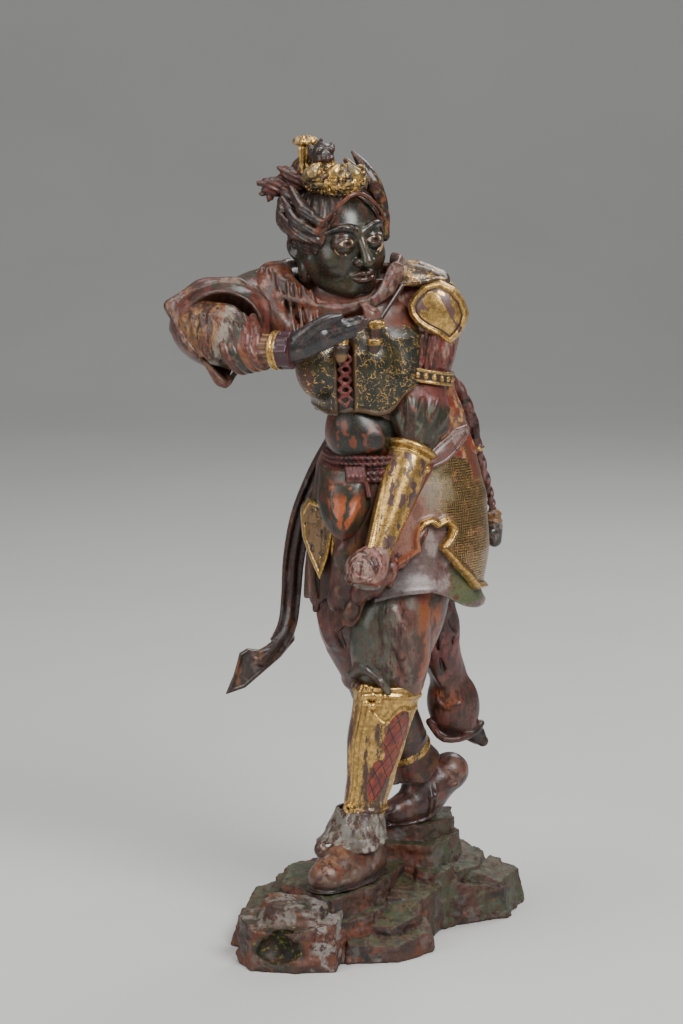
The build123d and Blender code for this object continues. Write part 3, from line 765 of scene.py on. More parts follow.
def build_rocks(material):
    """The craggy base: stepped blocks that share the CAD rocks' places and leave the foot sockets open."""
    sockets = [box("front_foot_tenon"), box("rear_foot_tenon")]

    def sockets_cut(q, d):
        for low, high in sockets:
            middle, radius = (low + high) / 2, (high[0] - low[0]) / 2 + 0.25
            well = np.hypot(q[:, 0] - middle[0], q[:, 1] - middle[1]) - radius
            d = np.maximum(d, -np.maximum(well, low[2] - 2 - q[:, 2]))
        return d

    def rock(node, carve=None, paint=None):
        """Unites the node's stones, and meshes them with what is carved out of them."""
        seed, low, high, stones = ROCKS[node]
        at = Place(node)

        def shape(q):
            d = np.full(len(q), FAR)
            for top, slope, batter, *corners in stones:
                d = np.minimum(d, block(q, plan(at, *corners), top, slope, batter))
            d = chiselled(q, d, seed)
            if carve is not None:
                d = carve(q, d)
            return sockets_cut(q, d)

        piece(node + "_carved", "base", shape, at.base(*low), at(*high), MEDIUM, material,
              paint or (lambda q, n: (rock_paint(q, n, seed), 0.0, q)), [node])

    for node in ROCKS:
        if node != "base_front_boulder":
            rock(node)
    at = Place("base_front_boulder")
    hollow = at(-11.5, -24.9, -7)

    def scoop(q, d):
        d = smooth_max(d, -ball(q, hollow, (23, 14, 17)) - 3 * fbm(q, 16, 2, 24), 3.0)
        return smooth_max(d, -slab(q, at(28.5, -36.9, 9), (6, 9, 26), axes((0.25, 0.2, 1)), 2), 1.5)

    def boulder_paint(q, n):
        base = rock_paint(q, n, 5, 0.25)
        base = blend(base, (rgb(128, 120, 110), step(q[:, 2], at.z(-1), at.z(19)) * patch(q, 9, 0.5, 22)),
                     (rgb(140, 134, 128), step(q[:, 0], at.x(14.5), at.x(22.5)) * patch(q, 7, 0.4, 23)))
        inside = step(ball(q, hollow, (23, 14, 17)) + 7 * fbm(q, 12, 3, 25), 7, 1)
        base = blend(base, (rgb(40, 44, 32), inside))
        return blend(base, (rgb(150, 138, 52), inside * patch(q, 2.4, 0.16, 21))), 0.0, q

    rock("base_front_boulder", scoop, boulder_paint)


# ---------------------------------------------------------------- feet and lower legs
def build_front_foot(shoe_material, gaiter_material):
    """The domed front shoe with its crossing bands, and the flared gaiter over the ankle."""
    at = Place("front_shoe")
    sole = box("front_shoe")[0][2] - 1

    def shoe(q):
        d = limb(q, [at(24.4, 40.4, -8), at(10.4, 14.4, -4), at(-5.6, -9.6, -8), at(-16.6, -25.6, -11)],
                 [20, 25, 25, 19], 8)
        d = smooth_min(d, limb(q, [at(14.4, 28.4, 8), at(15.4, 29.4, 20)], [22, 18], 2), 8)
        welt = limb(q, [at(24.4, 38.4, -21), at(8.4, 12.4, -21), at(-7.6, -11.6, -21),
                        at(-17.6, -26.6, -21)], [21, 26, 26, 20], 8, (0, 0, 1), 0.14)
        d = smooth_min(d, welt, 2.0)
        d = fold(q, d, [at(-37.6, -17.6, -16), at(-27.6, -21.6, 2), at(-11.6, -21.6, 11), at(6.4, -25.6, 2),
                        at(10.4, -31.6, -14)], 1.5, -1.6, 12)
        d = creases(q, d, at,
                    (2.4, 2.2, (-17.6, -43.6, -4), (-9.6, -21.6, 12), (4.4, 4.4, 22)),
                    (2.6, 2.2, (-23.6, 14.4, 0), (-3.6, 0.4, 18), (16.4, -7.6, 10), (28.4, -5.6, -8)))
        d = smooth_min(d, ball(q, at(-23.6, 0.4, 12), (6, 6, 8)), 4)
        return smooth_max(d + 0.5 * fbm(q, 9, 2, 4), sole - q[:, 2], 1.2)

    def shoe_paint(q, n):
        base = coat(q, 96, 68, 52)
        # the upward faces lighter: a painted top light
        painted_top_light = step(n[:, 2], 0.2, 0.8)
        base = blend(base, (rgb(150, 104, 74), painted_top_light * 0.7), blotch(q, (134, 122, 110), 8, 0.25, 32, 0.7),
                     blotch(q, (58, 42, 36), 12, 0.35, 33, 0.8), blotch(q, (118, 60, 40), 6, 0.25, 34, 0.7))
        return blend(base, (LACQUER * 1.4, step(q[:, 2], at.z(-12), at.z(-19)))), 0.0, q

    carved("front_shoe", "figure", shoe, 8, 10, MEDIUM, shoe_material, shoe_paint)

    at_g = Place("front_gaiter")

    def gaiter(q):
        flare = [at_g(-4, -5, -11), at_g(0, 0, 1), at_g(4, 5, 25)]
        levels = [(*place, *wide) for place, wide in zip(flare, ((34, 31), (28, 26), (21, 21)))]
        side, angle = column(q, levels)
        lobes = np.abs(np.sin(angle * 1.5 + 0.4))
        d = shell(side - 1.5 * lobes, 4.2)
        hem = at_g.z(-5) - 7 * lobes
        d = smooth_max(d, hem - q[:, 2], 1.6)
        d = d - 1.4 * np.exp(-((q[:, 2] - hem - 3) / 2.2) ** 2)
        inner = smooth_max(side + 3, between(q, at_g.z(-7), at_g.z(23)), 1)
        return smooth_max(smooth_min(d, inner, 1.5), q[:, 2] - at_g.z(25), 1.0)

    def gaiter_paint(q, n):
        return blend(coat(q, 112, 108, 98), blotch(q, (168, 162, 150), (10, 10, 14), 0.35, 41, 0.8),
                     blotch(q, (128, 104, 60), 7, 0.25, 42, 0.7),
                     blotch(q, (62, 50, 42), 9, 0.3, 43, 0.8)), 0.12, q

    carved("front_gaiter", "figure", gaiter, 10, (12, 12, 14), FINE, gaiter_material, gaiter_paint)


def build_front_leg(cloth_material, greave_material):
    """The front leg: smooth rolling trousers over a ribbed greave with a latticed panel."""
    at = Place("front_leg")
    levels = [(*at(x, y, z), wide, deep) for x, y, z, wide, deep in
              ((-7.8, -5.1, 11, 34, 32), (-10.8, -6.1, -8, 32, 30), (-19.8, -7.1, -48, 29, 28),
               (-24.8, -7.1, -83, 24, 24), (-30.8, -8.1, -113, 21, 22), (-34.8, -9.1, -131, 21, 21))]
    ridge = -2.28

    def unrolled(q):
        side, angle = column(q, levels)
        turn = np.angle(np.exp(1j * (angle - ridge)))
        return side, turn, q[:, 2] - at.z(-253)

    def panel_of(turn, z):
        upper = np.hypot((turn - 1.36) / 0.48, (z - 217) / 25) - 1
        lower = np.hypot((turn - 0.98) / 0.40, (z - 170) / 22) - 1
        bridge = np.hypot((turn - 1.36) / 0.34, (z - 192) / 22) - 1
        scallop = 0.07 * np.cos(np.arctan2(z - 195, turn * 26) * 9)
        return smooth_min(smooth_min(upper, lower, 0.2), bridge, 0.2) + scallop

    def greave(q):
        side, turn, z = unrolled(q)
        d = smooth_max(side, between(q, at.z(-127), at.z(13)), 3)
        off = turn * 27
        for place, lift, width in ((0, 2.6, 2.0), (-4.6, 1.5, 1.4), (4.6, 1.5, 1.4), (-13, 1.4, 1.8),
                                   (56, 1.6, 2.0)):
            d = d - lift * np.exp(-((off - place) / width) ** 2)
        panel = panel_of(turn, z)
        d = d - 1.2 * np.exp(-(panel / 0.10) ** 2) - 0.5 * step(panel, 0.5, 0.4) * step(turn, 0.16, 0.2)
        swoosh = 240 - 12 * step(turn, 0.25, 0.8) + 12 * step(turn, 0.9, 1.5)
        d = d - 1.7 * np.exp(-((z - swoosh) / 2.6) ** 2) * step(turn, 0.18, 0.26) * step(turn, 2.2, 2.0)
        d = d - 2.6 * np.exp(-((z - 259 + 3 * turn) / 3.0) ** 2)
        d = d - 3.0 * np.exp(-((z - 134 - 3 * np.sin(turn)) / 3.2) ** 2)
        d = smooth_min(d, ring(q, at(-46.8, -27.1, -114), 4.0, 2.4, axes((-0.6, -0.8, 0))), 1)
        for k in range(5):
            petal = math.radians(20 - 55 * k)
            place = at(-23.8, -38.1, 2) + np.array((8 * math.cos(petal), -1, 7.5 * math.sin(petal)))
            d = smooth_min(d, ball(q, place, (4.4, 4.2, 4.4)), 1.0)
        return smooth_min(d, ball(q, at(-23.8, -39.1, 5), (5, 4, 5)), 1)

    def greave_paint(q, n):
        _, turn, z = unrolled(q)
        panel = step(panel_of(turn, z), 0.0, -0.12)
        speckle = step(turn, 0.24, 0.30) * step(z, 236, 228) * (1 - panel) * step(turn, 2.1, 2.0)
        strip = step(turn, -0.24, -0.30) * step(turn, -1.5, -1.3)
        base = blend(coat(q, 166, 122, 66), (rgb(88, 62, 58), strip), (rgb(74, 52, 42), speckle),
                     (rgb(142, 60, 34), panel), (rgb(118, 40, 38), panel * patch(q, 9, 0.4, 51)),
                     blotch(q, (60, 40, 34), (8, 8, 16), 0.14, 52, 0.7))
        leaf = 0.92 - 0.92 * panel - 0.42 * speckle - 0.44 * strip
        lay = sheet(turn * 26, z, panel)
        return base, leaf, lay

    low, high = box("front_leg")
    piece("front_greave", "figure", greave, (low[0] - 6, low[1] - 10, at.z(-131)),
          (at.x(34.2), high[1], at.z(21)), FINE, greave_material, greave_paint, ())

    def thigh(q):
        d = limb(q, [at(14.2, 10.9, 139), at(8.2, 6.9, 87), at(-1.8, 0.9, 47), at(-7.8, -3.1, 23)],
                 [44, 44, 38, 30], 8)
        left = limb(q, [at(0.2, -11.1, 127), at(-15.8, -19.1, 77), at(-19.8, -17.1, 43),
                        at(-17.8, -15.1, 31)], [26, 28, 26, 22], 8)
        right = limb(q, [at(14.2, -9.1, 119), at(8.2, -21.1, 77), at(8.2, -19.1, 37), at(8.2, -11.1, 15)],
                     [26, 27, 26, 21], 8)
        d = smooth_min(d, left, 6)
        d = smooth_min(d, right, 4)
        lip = limb(q, [at(-43.8, -19.1, 23), at(-31.8, -33.1, 33), at(-19.8, -37.1, 25),
                       at(-7.8, -37.1, 9)], [5.5, 6, 5, 4], 10)
        d = smooth_min(d, lip, 4)
        d = fold(q, d, [at(-11.8, -41.1, 111), at(-13.8, -45.1, 77), at(-3.8, -45.1, 47),
                        at(8.2, -39.1, 15)], 3.2, -4.6, 10)
        d = creases(q, d, at,
                    (5.0, 2.6, (-5.8, -43.1, 97), (4.2, -49.1, 69), (6.2, -47.1, 43)),
                    (6.0, 2.4, (-33.8, -27.1, 99), (-27.8, -41.1, 73), (-17.8, -45.1, 53)),
                    (2.6, 3.2, (-29.8, -37.1, 47), (-19.8, -43.1, 39), (-9.8, -43.1, 29)),
                    (1.8, -2.4, (-35.8, -33.1, 39), (-23.8, -41.1, 31), (-13.8, -41.1, 21)),
                    (3.0, -3.6, (20.2, -31.1, 107), (26.2, -31.1, 67), (22.2, -29.1, 27)),
                    (3.4, 3.0, (28.2, -23.1, 97), (34.2, -19.1, 63), (28.2, -21.1, 33)))
        return smooth_max(d, at.z(-3) - q[:, 2], 4) + 0.4 * fbm(q, (12, 12, 30), 2, 14)

    def thigh_paint(q, n):
        x, z = q[:, 0] - at.x(-15.8), q[:, 2] - at.z(-253)
        right = step(x, 8, 22)
        base = blend(coat(q, 70, 70, 58), (rgb(118, 68, 58), right * 0.7),
                     blotch(q, (104, 102, 88), (12, 12, 34), 0.35, 61, 0.6),
                     (rgb(148, 80, 40), step(x, 34, 44) * patch(q, (8, 8, 20), 0.55, 63)),
                     blotch(q, (126, 60, 50), (9, 9, 24), 0.22, 62, 0.7),
                     blotch(q, (44, 38, 32), (10, 10, 26), 0.3, 64, 0.8))
        lip = step(np.abs(z - 280), 14, 8) * step(x, 12, 0)
        return blend(base, (rgb(56, 54, 48), lip * 0.6)), 0.0, q

    piece("front_trouser", "figure", thigh, (low[0] - 8, low[1] - 22, at.z(-9)),
          high + (12, 8, 12), MEDIUM, cloth_material, thigh_paint, ["front_leg"])


def build_rear_leg(cloth_material, greave_material, shoe_material):
    """The rear leg stepping up behind: trousers, greave dark with painted shade, flared gaiter and shoe."""
    at = Place("rear_leg")

    def thigh(q):
        d = limb(q, [at(-17.2, -9.3, 119.5), at(-23.2, -17.3, 77.5), at(-21.2, -17.3, 37.5),
                     at(-9.2, -11.3, -2.5)], [38, 40, 36, 28], 8)
        d = smooth_min(d, ring(q, at(-5.2, -7.3, -8.5), 24, 7, axes((-0.3, -0.25, 1))), 5)
        d = creases(q, d, at,
                    (5.0, 5.0, (-53.2, -29.3, 93.5), (-57.2, -35.3, 57.5), (-45.2, -39.3, 23.5)),
                    (3.4, -4.6, (-39.2, -51.3, 99.5), (-45.2, -51.3, 61.5), (-31.2, -45.3, 23.5)),
                    (5.0, 4.4, (-27.2, -53.3, 93.5), (-29.2, -55.3, 57.5), (-17.2, -51.3, 17.5)),
                    (3.4, 3.6, (-51.2, -27.3, 45.5), (-41.2, -41.3, 27.5), (-21.2, -45.3, 23.5)))
        return d + 0.4 * fbm(q, (12, 12, 26), 2, 15)

    def thigh_paint(q, n):
        return blend(coat(q, 92, 44, 38), blotch(q, (48, 40, 36), (9, 9, 26), 0.4, 71, 0.85),
                     blotch(q, (92, 88, 88), 10, 0.25, 72, 0.6),
                     blotch(q, (146, 84, 62), (8, 8, 20), 0.2, 73, 0.7)), 0.02, q

    low, high = box("rear_leg")
    piece("rear_trouser", "figure", thigh, (low[0] - 12, low[1] - 18, at.z(-32.5)), high + (6, 6, 10),
          MEDIUM, cloth_material, thigh_paint, ["rear_leg"])

    shin = [at(-3.2, -3.3, -10.5), at(14.8, 6.7, -54.5), at(28.8, 18.7, -86.5), at(35.8, 25.7, -104.5)]
    tilt = axes((0.42, 0.4, -1))

    def greave(q):
        d, share, _ = along(q, curve(shin, 8))
        d = d - np.interp(share, (0, 0.4, 0.8, 1), (30, 27, 23, 21))
        for place, radius, thick in ((at(32.8, 22.7, -95.5), 22, 3.0), (at(28.8, 18.7, -85.5), 23, 1.8),
                                     (at(1.8, -0.3, -22.5), 27, 3.0)):
            d = smooth_min(d, ring(q, place, radius, thick, tilt), 1.2)
        flare = local(q, at(35.8, 25.7, -106.5), tilt)
        reach = np.hypot(flare[:, 0], flare[:, 1]) - 21 - 0.32 * (flare[:, 2] + 10)
        skirt = np.maximum(shell(reach, 5), np.maximum(-12 - flare[:, 2],
                                                       flare[:, 2] - 13 - 3 * np.sin(flare[:, 0] * 0.16)))
        return smooth_min(d, skirt + 0.6, 2)

    def greave_paint(q, n):
        place = local(q, at(32.8, 22.7, -95.5), tilt)[:, 2]
        rim = step(np.abs(place), 6, 4)
        # the dark base is painted shade, where the greave stands behind the front leg
        base = blend(coat(q, 50, 38, 34), blotch(q, (96, 66, 40), 8, 0.35, 81, 0.8),
                     blotch(q, (92, 34, 32), 7, 0.25, 82, 0.8))
        leaf = 0.34 * step(place, 6, 2) + 0.2 * rim
        lay = sheet(q[:, 0] - q[:, 1] * 0.6, q[:, 2], 0)
        return base, leaf, lay

    piece("rear_greave", "figure", greave, at(-33.2, -33.3, -134.5), at(74.8, 64.7, 17.5), MEDIUM,
          greave_material, greave_paint, ())

    at_s = Place("rear_shoe")
    ground = box("base_rear_rock")[1][2]

    def shoe(q):
        d = limb(q, [at_s(-33.7, -21.8, -18.6), at_s(-16.7, -12.8, -12.6), at_s(1.3, -2.8, -0.6),
                     at_s(19.3, 7.2, 15.4)], [14.5, 19, 20, 18.5], 8)
        d = smooth_min(d, ball(q, at_s(23.3, 9.2, 17.4), 19.5), 5)
        d = smooth_min(d, limb(q, [at_s(-6.7, -2.8, 5.4), at_s(-12.7, -5.8, 27.4)], [20, 18], 2), 8)
        sole = limb(q, [at_s(-42.7, -26.8, -29.6), at_s(-20.7, -14.8, -29.6), at_s(-2.7, -5.8, -24.6),
                        at_s(17.3, 7.2, -4.6)], [8, 14, 14, 10], 8, (-0.2, -0.1, 1), 0.22)
        d = smooth_min(d, sole, 2)
        run = unit((0.8, 0.42, 0.45))
        for place, radius in ((at_s(-6.7, -6.8, -6.6), 21.5), (at_s(-1.7, -3.8, -3.6), 21.5)):
            d = smooth_min(d, ring(q, place, radius, 1.8, axes(run + (0, 0, -0.5))), 1.5)
        d = smooth_min(d, limb(q, [at_s(3.3, -24.8, -2.6), at_s(15.3, -14.8, 3.4), at_s(29.3, -8.8, 7.4)],
                               [2.4] * 3, 6), 2)
        d = fold(q, d, [at_s(-44.7, -34.8, -18.6), at_s(-30.7, -38.8, -10.6), at_s(-16.7, -30.8, 5.4)], 2.0,
                 2.0)
        return smooth_max(d + 0.4 * fbm(q, 9, 2, 5), ground - 0.5 - q[:, 2], 1)

    def shoe_paint(q, n):
        heel = step(np.linalg.norm(q - at_s(27.3, -2.8, 21.4), axis=1), 22, 10)
        return blend(coat(q, 64, 44, 42), (rgb(140, 104, 88), heel * 0.7),
                     blotch(q, (104, 72, 62), (9, 9, 12), 0.35, 91, 0.7),
                     blotch(q, (112, 54, 36), 8, 0.2, 92, 0.7),
                     (LACQUER, 0.8 * patch(q, 10, 0.25, 93))), 0.04, q

    carved("rear_shoe", "figure", shoe, 8, 8, MEDIUM, shoe_material, shoe_paint,
           also=["rear_gaiter"])


# ---------------------------------------------------------------- skirts, belt and hip armour
SKIRT = ((10, 20, 326, 82, 66), (12, 20, 350, 80, 65), (16, 21, 392, 84, 67), (18, 21, 440, 84, 62),
         (12, 17, 480, 72, 52), (2, 10, 505, 54, 48))
PANEL = ((13, 22, 340, 86, 78), (18, 22, 400, 90, 76), (18, 21, 450, 86, 66), (14, 18, 490, 80, 58),
         (8, 14, 525, 74, 50), (4, 12, 565, 64, 44))
HIP_TURN = 1.55                # millimetres of panel per degree round the hips


def build_robe(material, satin):
    """The under-robe's hem: a smooth flared sheet on the left, gathered folds on the right."""
    at = Place("hip_block")
    origin = at(-12.4, -18.4, -434.5)

    def lower_edge(q):
        x = q[:, 0] - origin[0]
        return origin[2] + 363 - 22 * step(x, 48, 100) - 0.004 * np.minimum(x - 40, 0) ** 2

    def left(q):
        side, angle = column(q - origin, SKIRT)
        flare = 9.0 * step(lower_edge(q) + 44 - q[:, 2], 0, 44) ** 2
        d = shell(side - flare, 5.4)
        d = smooth_max(d, lower_edge(q) - q[:, 2], 1.5)
        d = smooth_max(d, q[:, 2] - at.z(17.5), 1)
        cut = np.degrees(angle)
        d = smooth_max(d, np.maximum(-104 - cut, cut - 88) * 1.2, 1.2)
        lip = np.exp(-((q[:, 2] - lower_edge(q) - 3) / 2.6) ** 2)
        return d - 0.9 * lip + 0.8 * fbm(q, (22, 22, 34), 2, 3)

    def left_paint(q, n):
        x, z = q[:, 0] - origin[0], q[:, 2] - origin[2]
        base = coat(q, 112, 92, 88)
        green = step(x, 66, 74) * step(z, 392, 384) * step(z, 344, 350)
        base = blend(base, blotch(q, (168, 152, 146), (18, 18, 12), 0.42, 101, 0.75),
                     blotch(q, (96, 58, 54), (10, 10, 14), 0.3, 102, 0.7),
                     (rgb(70, 66, 66), 0.7 * step(x, 44, 18)),
                     (rgb(98, 104, 74), green), (rgb(110, 50, 40), 0.8 * green * patch(q, 7, 0.3, 104)))
        return base, 0.0, q

    low, high = box("robe_hem_left")
    piece("robe_hem_left_carved", "figure", left, (low[0] - 26, low[1] - 22, low[2] - 6),
          (high[0] + 18, high[1] + 8, at.z(21.5)), MEDIUM, satin, left_paint, ["robe_hem_left"])

    def right(q):
        side, angle = column(q - origin, SKIRT)
        turn = np.degrees(np.mod(angle, 2 * np.pi))
        waves = 4.4 * np.cos(turn * 0.155 + 1.0) + 2.2 * np.cos(turn * 0.33)
        low_part = step(q[:, 2], origin[2] + 440, origin[2] + 350)
        d = shell(side - waves * low_part, 6)
        d = smooth_max(d, np.maximum(89 - turn, turn - 258) * 1.2, 1.2)
        hem = origin[2] + 346 + 7 * np.cos(turn * 0.2) + 4 * np.cos(turn * 0.47 + 1) - 16 * step(turn, 214,
                                                                                                 236)
        d = smooth_max(d, hem - q[:, 2], 2.5)
        d = smooth_max(d, q[:, 2] - at.z(65.5), 1)
        for x, y, width in ((-70, -2, 5), (-60, -18, 4), (-48, -32, 5.5), (-34, -44, 4.5), (-20, -48, 5)):
            place = origin + (x, y, 0)
            d = fold(q, d, [place + (10, 4, 430), place + (1, -5, 390), place + (5, -3, 344)], width, 5.0)
            d = fold(q, d, [place + (16, -4, 420), place + (8, -9, 384), place + (11, -8, 340)],
                     width * 0.5, -3.6)
        return d + 0.6 * fbm(q, (12, 12, 26), 2, 6)

    def right_paint(q, n):
        return blend(coat(q, 84, 48, 36), blotch(q, (58, 58, 40), (9, 9, 26), 0.4, 111, 0.8),
                     blotch(q, (140, 84, 48), (7, 7, 20), 0.25, 112, 0.7),
                     (LACQUER, 0.8 * patch(q, (8, 8, 20), 0.35, 113)),
                     blotch(q, (136, 52, 44), (6, 6, 14), 0.16, 114, 0.7)), 0.12, q

    low, high = box("robe_hem_right")
    piece("robe_hem_right_carved", "figure", right, (low[0] - 16, low[1] - 26, low[2] - 6),
          (high[0] + 16, high[1] + 16, at.z(69.5)), MEDIUM, material, right_paint,
          ["robe_hem_right", "hip_armour_back", "hip_armour_right"])

    centre = at(-18.4, -54.4, -54.5)

    def rolls(q):
        """Crumpled cloth bunched under the fist, filling the gap between the hem and the front thigh."""
        d = limb(q, [at(32.6, -54.4, -8.5), at(18.6, -64.3, -25.5), at(-0.4, -68.3, -40.5),
                     at(-22.4, -66.3, -56.5)], [6, 7.5, 9, 14], 8)
        d = smooth_min(d, limb(q, [at(-20.4, -52.4, 35.5), at(-36.4, -56.4, -14.5),
                                   at(-46.4, -54.4, -68.5)], [20, 21, 17], 6), 6)
        bumps = ((-20, -58, 366, 9), (-4, -62, 376, 10), (-30, -52, 384, 9), (8, -60, 386, 9),
                 (-42, -42, 358, 10), (-36, -50, 404, 10), (-12, -58, 398, 8), (-28, -50, 346, 8))
        for x, y, z, r in bumps:
            d = smooth_min(d, ball(q, origin + (x, y, z), (r, r * 0.9, r * 1.5), axes((0.3, -0.2, 1))), 3)
        d = folds(q, d, [at(17.6, -66.3, -10.5), at(-18.4, -74.3, -4.5), at(-50.4, -64.3, -4.5)],
                  [at(7.6, -74.3, -62.5), at(-28.4, -76.3, -82.5), at(-58.4, -58.4, -90.5)], 8, 2.6, 4.4)
        return d + 0.5 * fbm(q, 9, 2, 8)

    def roll_paint(q, n):
        lip = step(q[:, 0], at.x(-8.4), at.x(1.6))
        base = blend(coat(q, 74, 44, 36), (rgb(142, 88, 76), lip))
        return blend(base, (rgb(132, 94, 58), 0.7 * (1 - lip) * patch(q, (8, 8, 14), 0.25, 121)),
                     (rgb(52, 52, 38), 0.8 * (1 - lip) * patch(q, (9, 9, 20), 0.3, 122)),
                     blotch(q, (120, 46, 44), (6, 6, 14), 0.2, 123, 0.6)), 0.2, q

    piece("robe_rolls", "figure", rolls, centre - (70, 38, 56), centre + (64, 40, 108), MEDIUM, material,
          roll_paint, ["hip_armour_front"])


def build_hip_panel(panel_material, cloth_material):
    """The armoured hip panel with its rolled rim and ruyi notch, leaf flap, stud and the sash behind."""
    at = Place("hip_armour_left")
    origin = at(-77.6, -17.2, -426)
    rim = [(-128, 382), (-99, 386), (-90, 391), (-76, 406), (-77, 417), (-76, 425), (-73, 430), (-69, 432),
           (-65, 427), (-59, 431), (-55, 426), (-58, 418), (-63, 411), (-63, 406), (-50, 385), (-27, 360),
           (0, 354), (96, 354), (96, 530), (0, 530), (-45, 510), (-72, 490), (-128, 486)]
    rim = [(a * HIP_TURN, z) for a, z in rim]

    def unrolled(q):
        side, angle = column(q - origin, PANEL)
        flat = np.stack((np.degrees(angle) * HIP_TURN, q[:, 2] - origin[2]), axis=1)
        return side, flat, outline(flat, rim, (0, 1))

    def panel(q):
        side, flat, edge = unrolled(q)
        roll = np.exp(-((edge + 3.4) / 3.0) ** 2) * step(flat[:, 1], 478, 462)
        dent = 1.2 * fbm(q, (40, 40, 30), 2, 5)
        d = np.abs(side - dent - 2.4 * roll) - 2.4 - 2.6 * roll
        return smooth_max(d, edge, 2.4)

    def panel_paint(q, n):
        side, flat, edge = unrolled(q)
        a, z = flat[:, 0] / HIP_TURN, flat[:, 1]
        border = step(edge, -7.6, -6.2) * step(z, 478, 466)
        left_border = border * step(a, -74, -80)
        # a pale patch with a little gold leaf: a painted highlight on the gilding
        painted_sheen = step(np.hypot((a + 63) * 1.2, (z - 470) * 0.7) + 12 * fbm(q, 12, 4, 135), 24, 12)
        painted_sheen = painted_sheen * step(a, -46, -52)
        bare = step(a + 9 * fbm(q, 14, 3, 136), -54, -62) * step(z, 480, 466)
        red_side = step(a + 6 * fbm(q, 12, 3, 137), -32, -24) * step(z, 462, 474)
        patched = patch(q, (9, 9, 14), 0.16, 131)
        pattern = (1 - border) * (1 - bare * 0.95) * (1 - red_side) * (1 - 0.8 * patched)
        base = blend(coat(q, 36, 27, 23), (rgb(150, 104, 90), bare),
                     (rgb(112, 70, 60), 0.7 * bare * patch(q, 9, 0.4, 132)),
                     (rgb(150, 142, 122), 0.7 * painted_sheen), (rgb(110, 60, 42), red_side),
                     (rgb(120, 76, 54), 0.7 * patched * (1 - painted_sheen)), (rgb(180, 140, 80), border),
                     (rgb(158, 92, 66), left_border))
        inner = step(side, -0.5, -2.0)
        base = blend(base, (rgb(120, 124, 94), inner))
        leaf = border * (1 - left_border) * 0.95 + 0.2 * painted_sheen
        lay = sheet(flat[:, 0], z, pattern)
        return base, leaf * (1 - inner), lay

    piece("hip_armour_left_carved", "figure", panel, at(-107.6, -79.2, -78),
          (box("hip_armour_left")[1][0] + 8, at.y(86.8), at.z(88)), MEDIUM, panel_material, panel_paint,
          ["hip_armour_left"])

    flap_edge = [(42, 484), (52, 486), (66, 492), (78, 502), (90, 518), (86, 526), (74, 524), (58, 512),
                 (44, 500)]
    flap_edge = [(x + origin[0], z + origin[2]) for x, z in flap_edge]

    def flap(q):
        side, _ = column(q - origin, PANEL)
        edge = outline(q, flap_edge)
        d = np.abs(side - 5.0) - 3.0
        d = smooth_max(smooth_max(d, edge, 3.0), q[:, 1] - at.y(6.8), 1)
        d = d + 1.0 * np.exp(-((edge + 4) / 1.2) ** 2)
        return smooth_min(d, ring(q, at(3.4, -29.2, 87), 3.4, 1.6, axes((0.5, -1, 0))), 1)

    def flap_paint(q, n):
        return blend(coat(q, 116, 80, 72), blotch(q, (160, 140, 132), (12, 12, 8), 0.4, 141, 0.7),
                     blotch(q, (72, 48, 42), 6, 0.25, 142, 0.7)), 0.1, q

    centre = at(-9.6, -37.2, 76)
    piece("hip_leaf_flap", "figure", flap, centre - (28, 34, 26), centre + (28, 48, 28), FINE, cloth_material,
          flap_paint, ())

    def sash(q):
        side, angle = column(q - origin, PANEL)
        turn = np.degrees(angle)
        d = shell(side + 1.0, 7)
        d = smooth_max(d, np.maximum(-62 - turn, turn - 150) * 1.2, 2)
        d = smooth_max(d, between(q, at.z(68), at.z(146)), 3)
        d = d + 1.6 * np.cos(turn * 0.22 + (q[:, 2] - origin[2]) * 0.06)
        return d + 0.6 * fbm(q, 9, 2, 9)

    def sash_paint(q, n):
        return blend(coat(q, 158, 100, 66), blotch(q, (190, 142, 96), 9, 0.35, 151),
                     blotch(q, (112, 84, 72), 5, 0.35, 152),
                     blotch(q, (126, 54, 38), 11, 0.3, 153)), 0.12, q

    piece("back_sash", "figure", sash, at(-117.6, -67.2, 64), at(26.4, 66.8, 150), MEDIUM, cloth_material,
          sash_paint, ())


def tongue_cracks(q):
    """Engraved veins over the gold tongues: 1 in a vein."""
    return step(np.abs(fbm(q * (1, 1, 0.6), 5.5, 2, 161)), 0.1, 0.03)


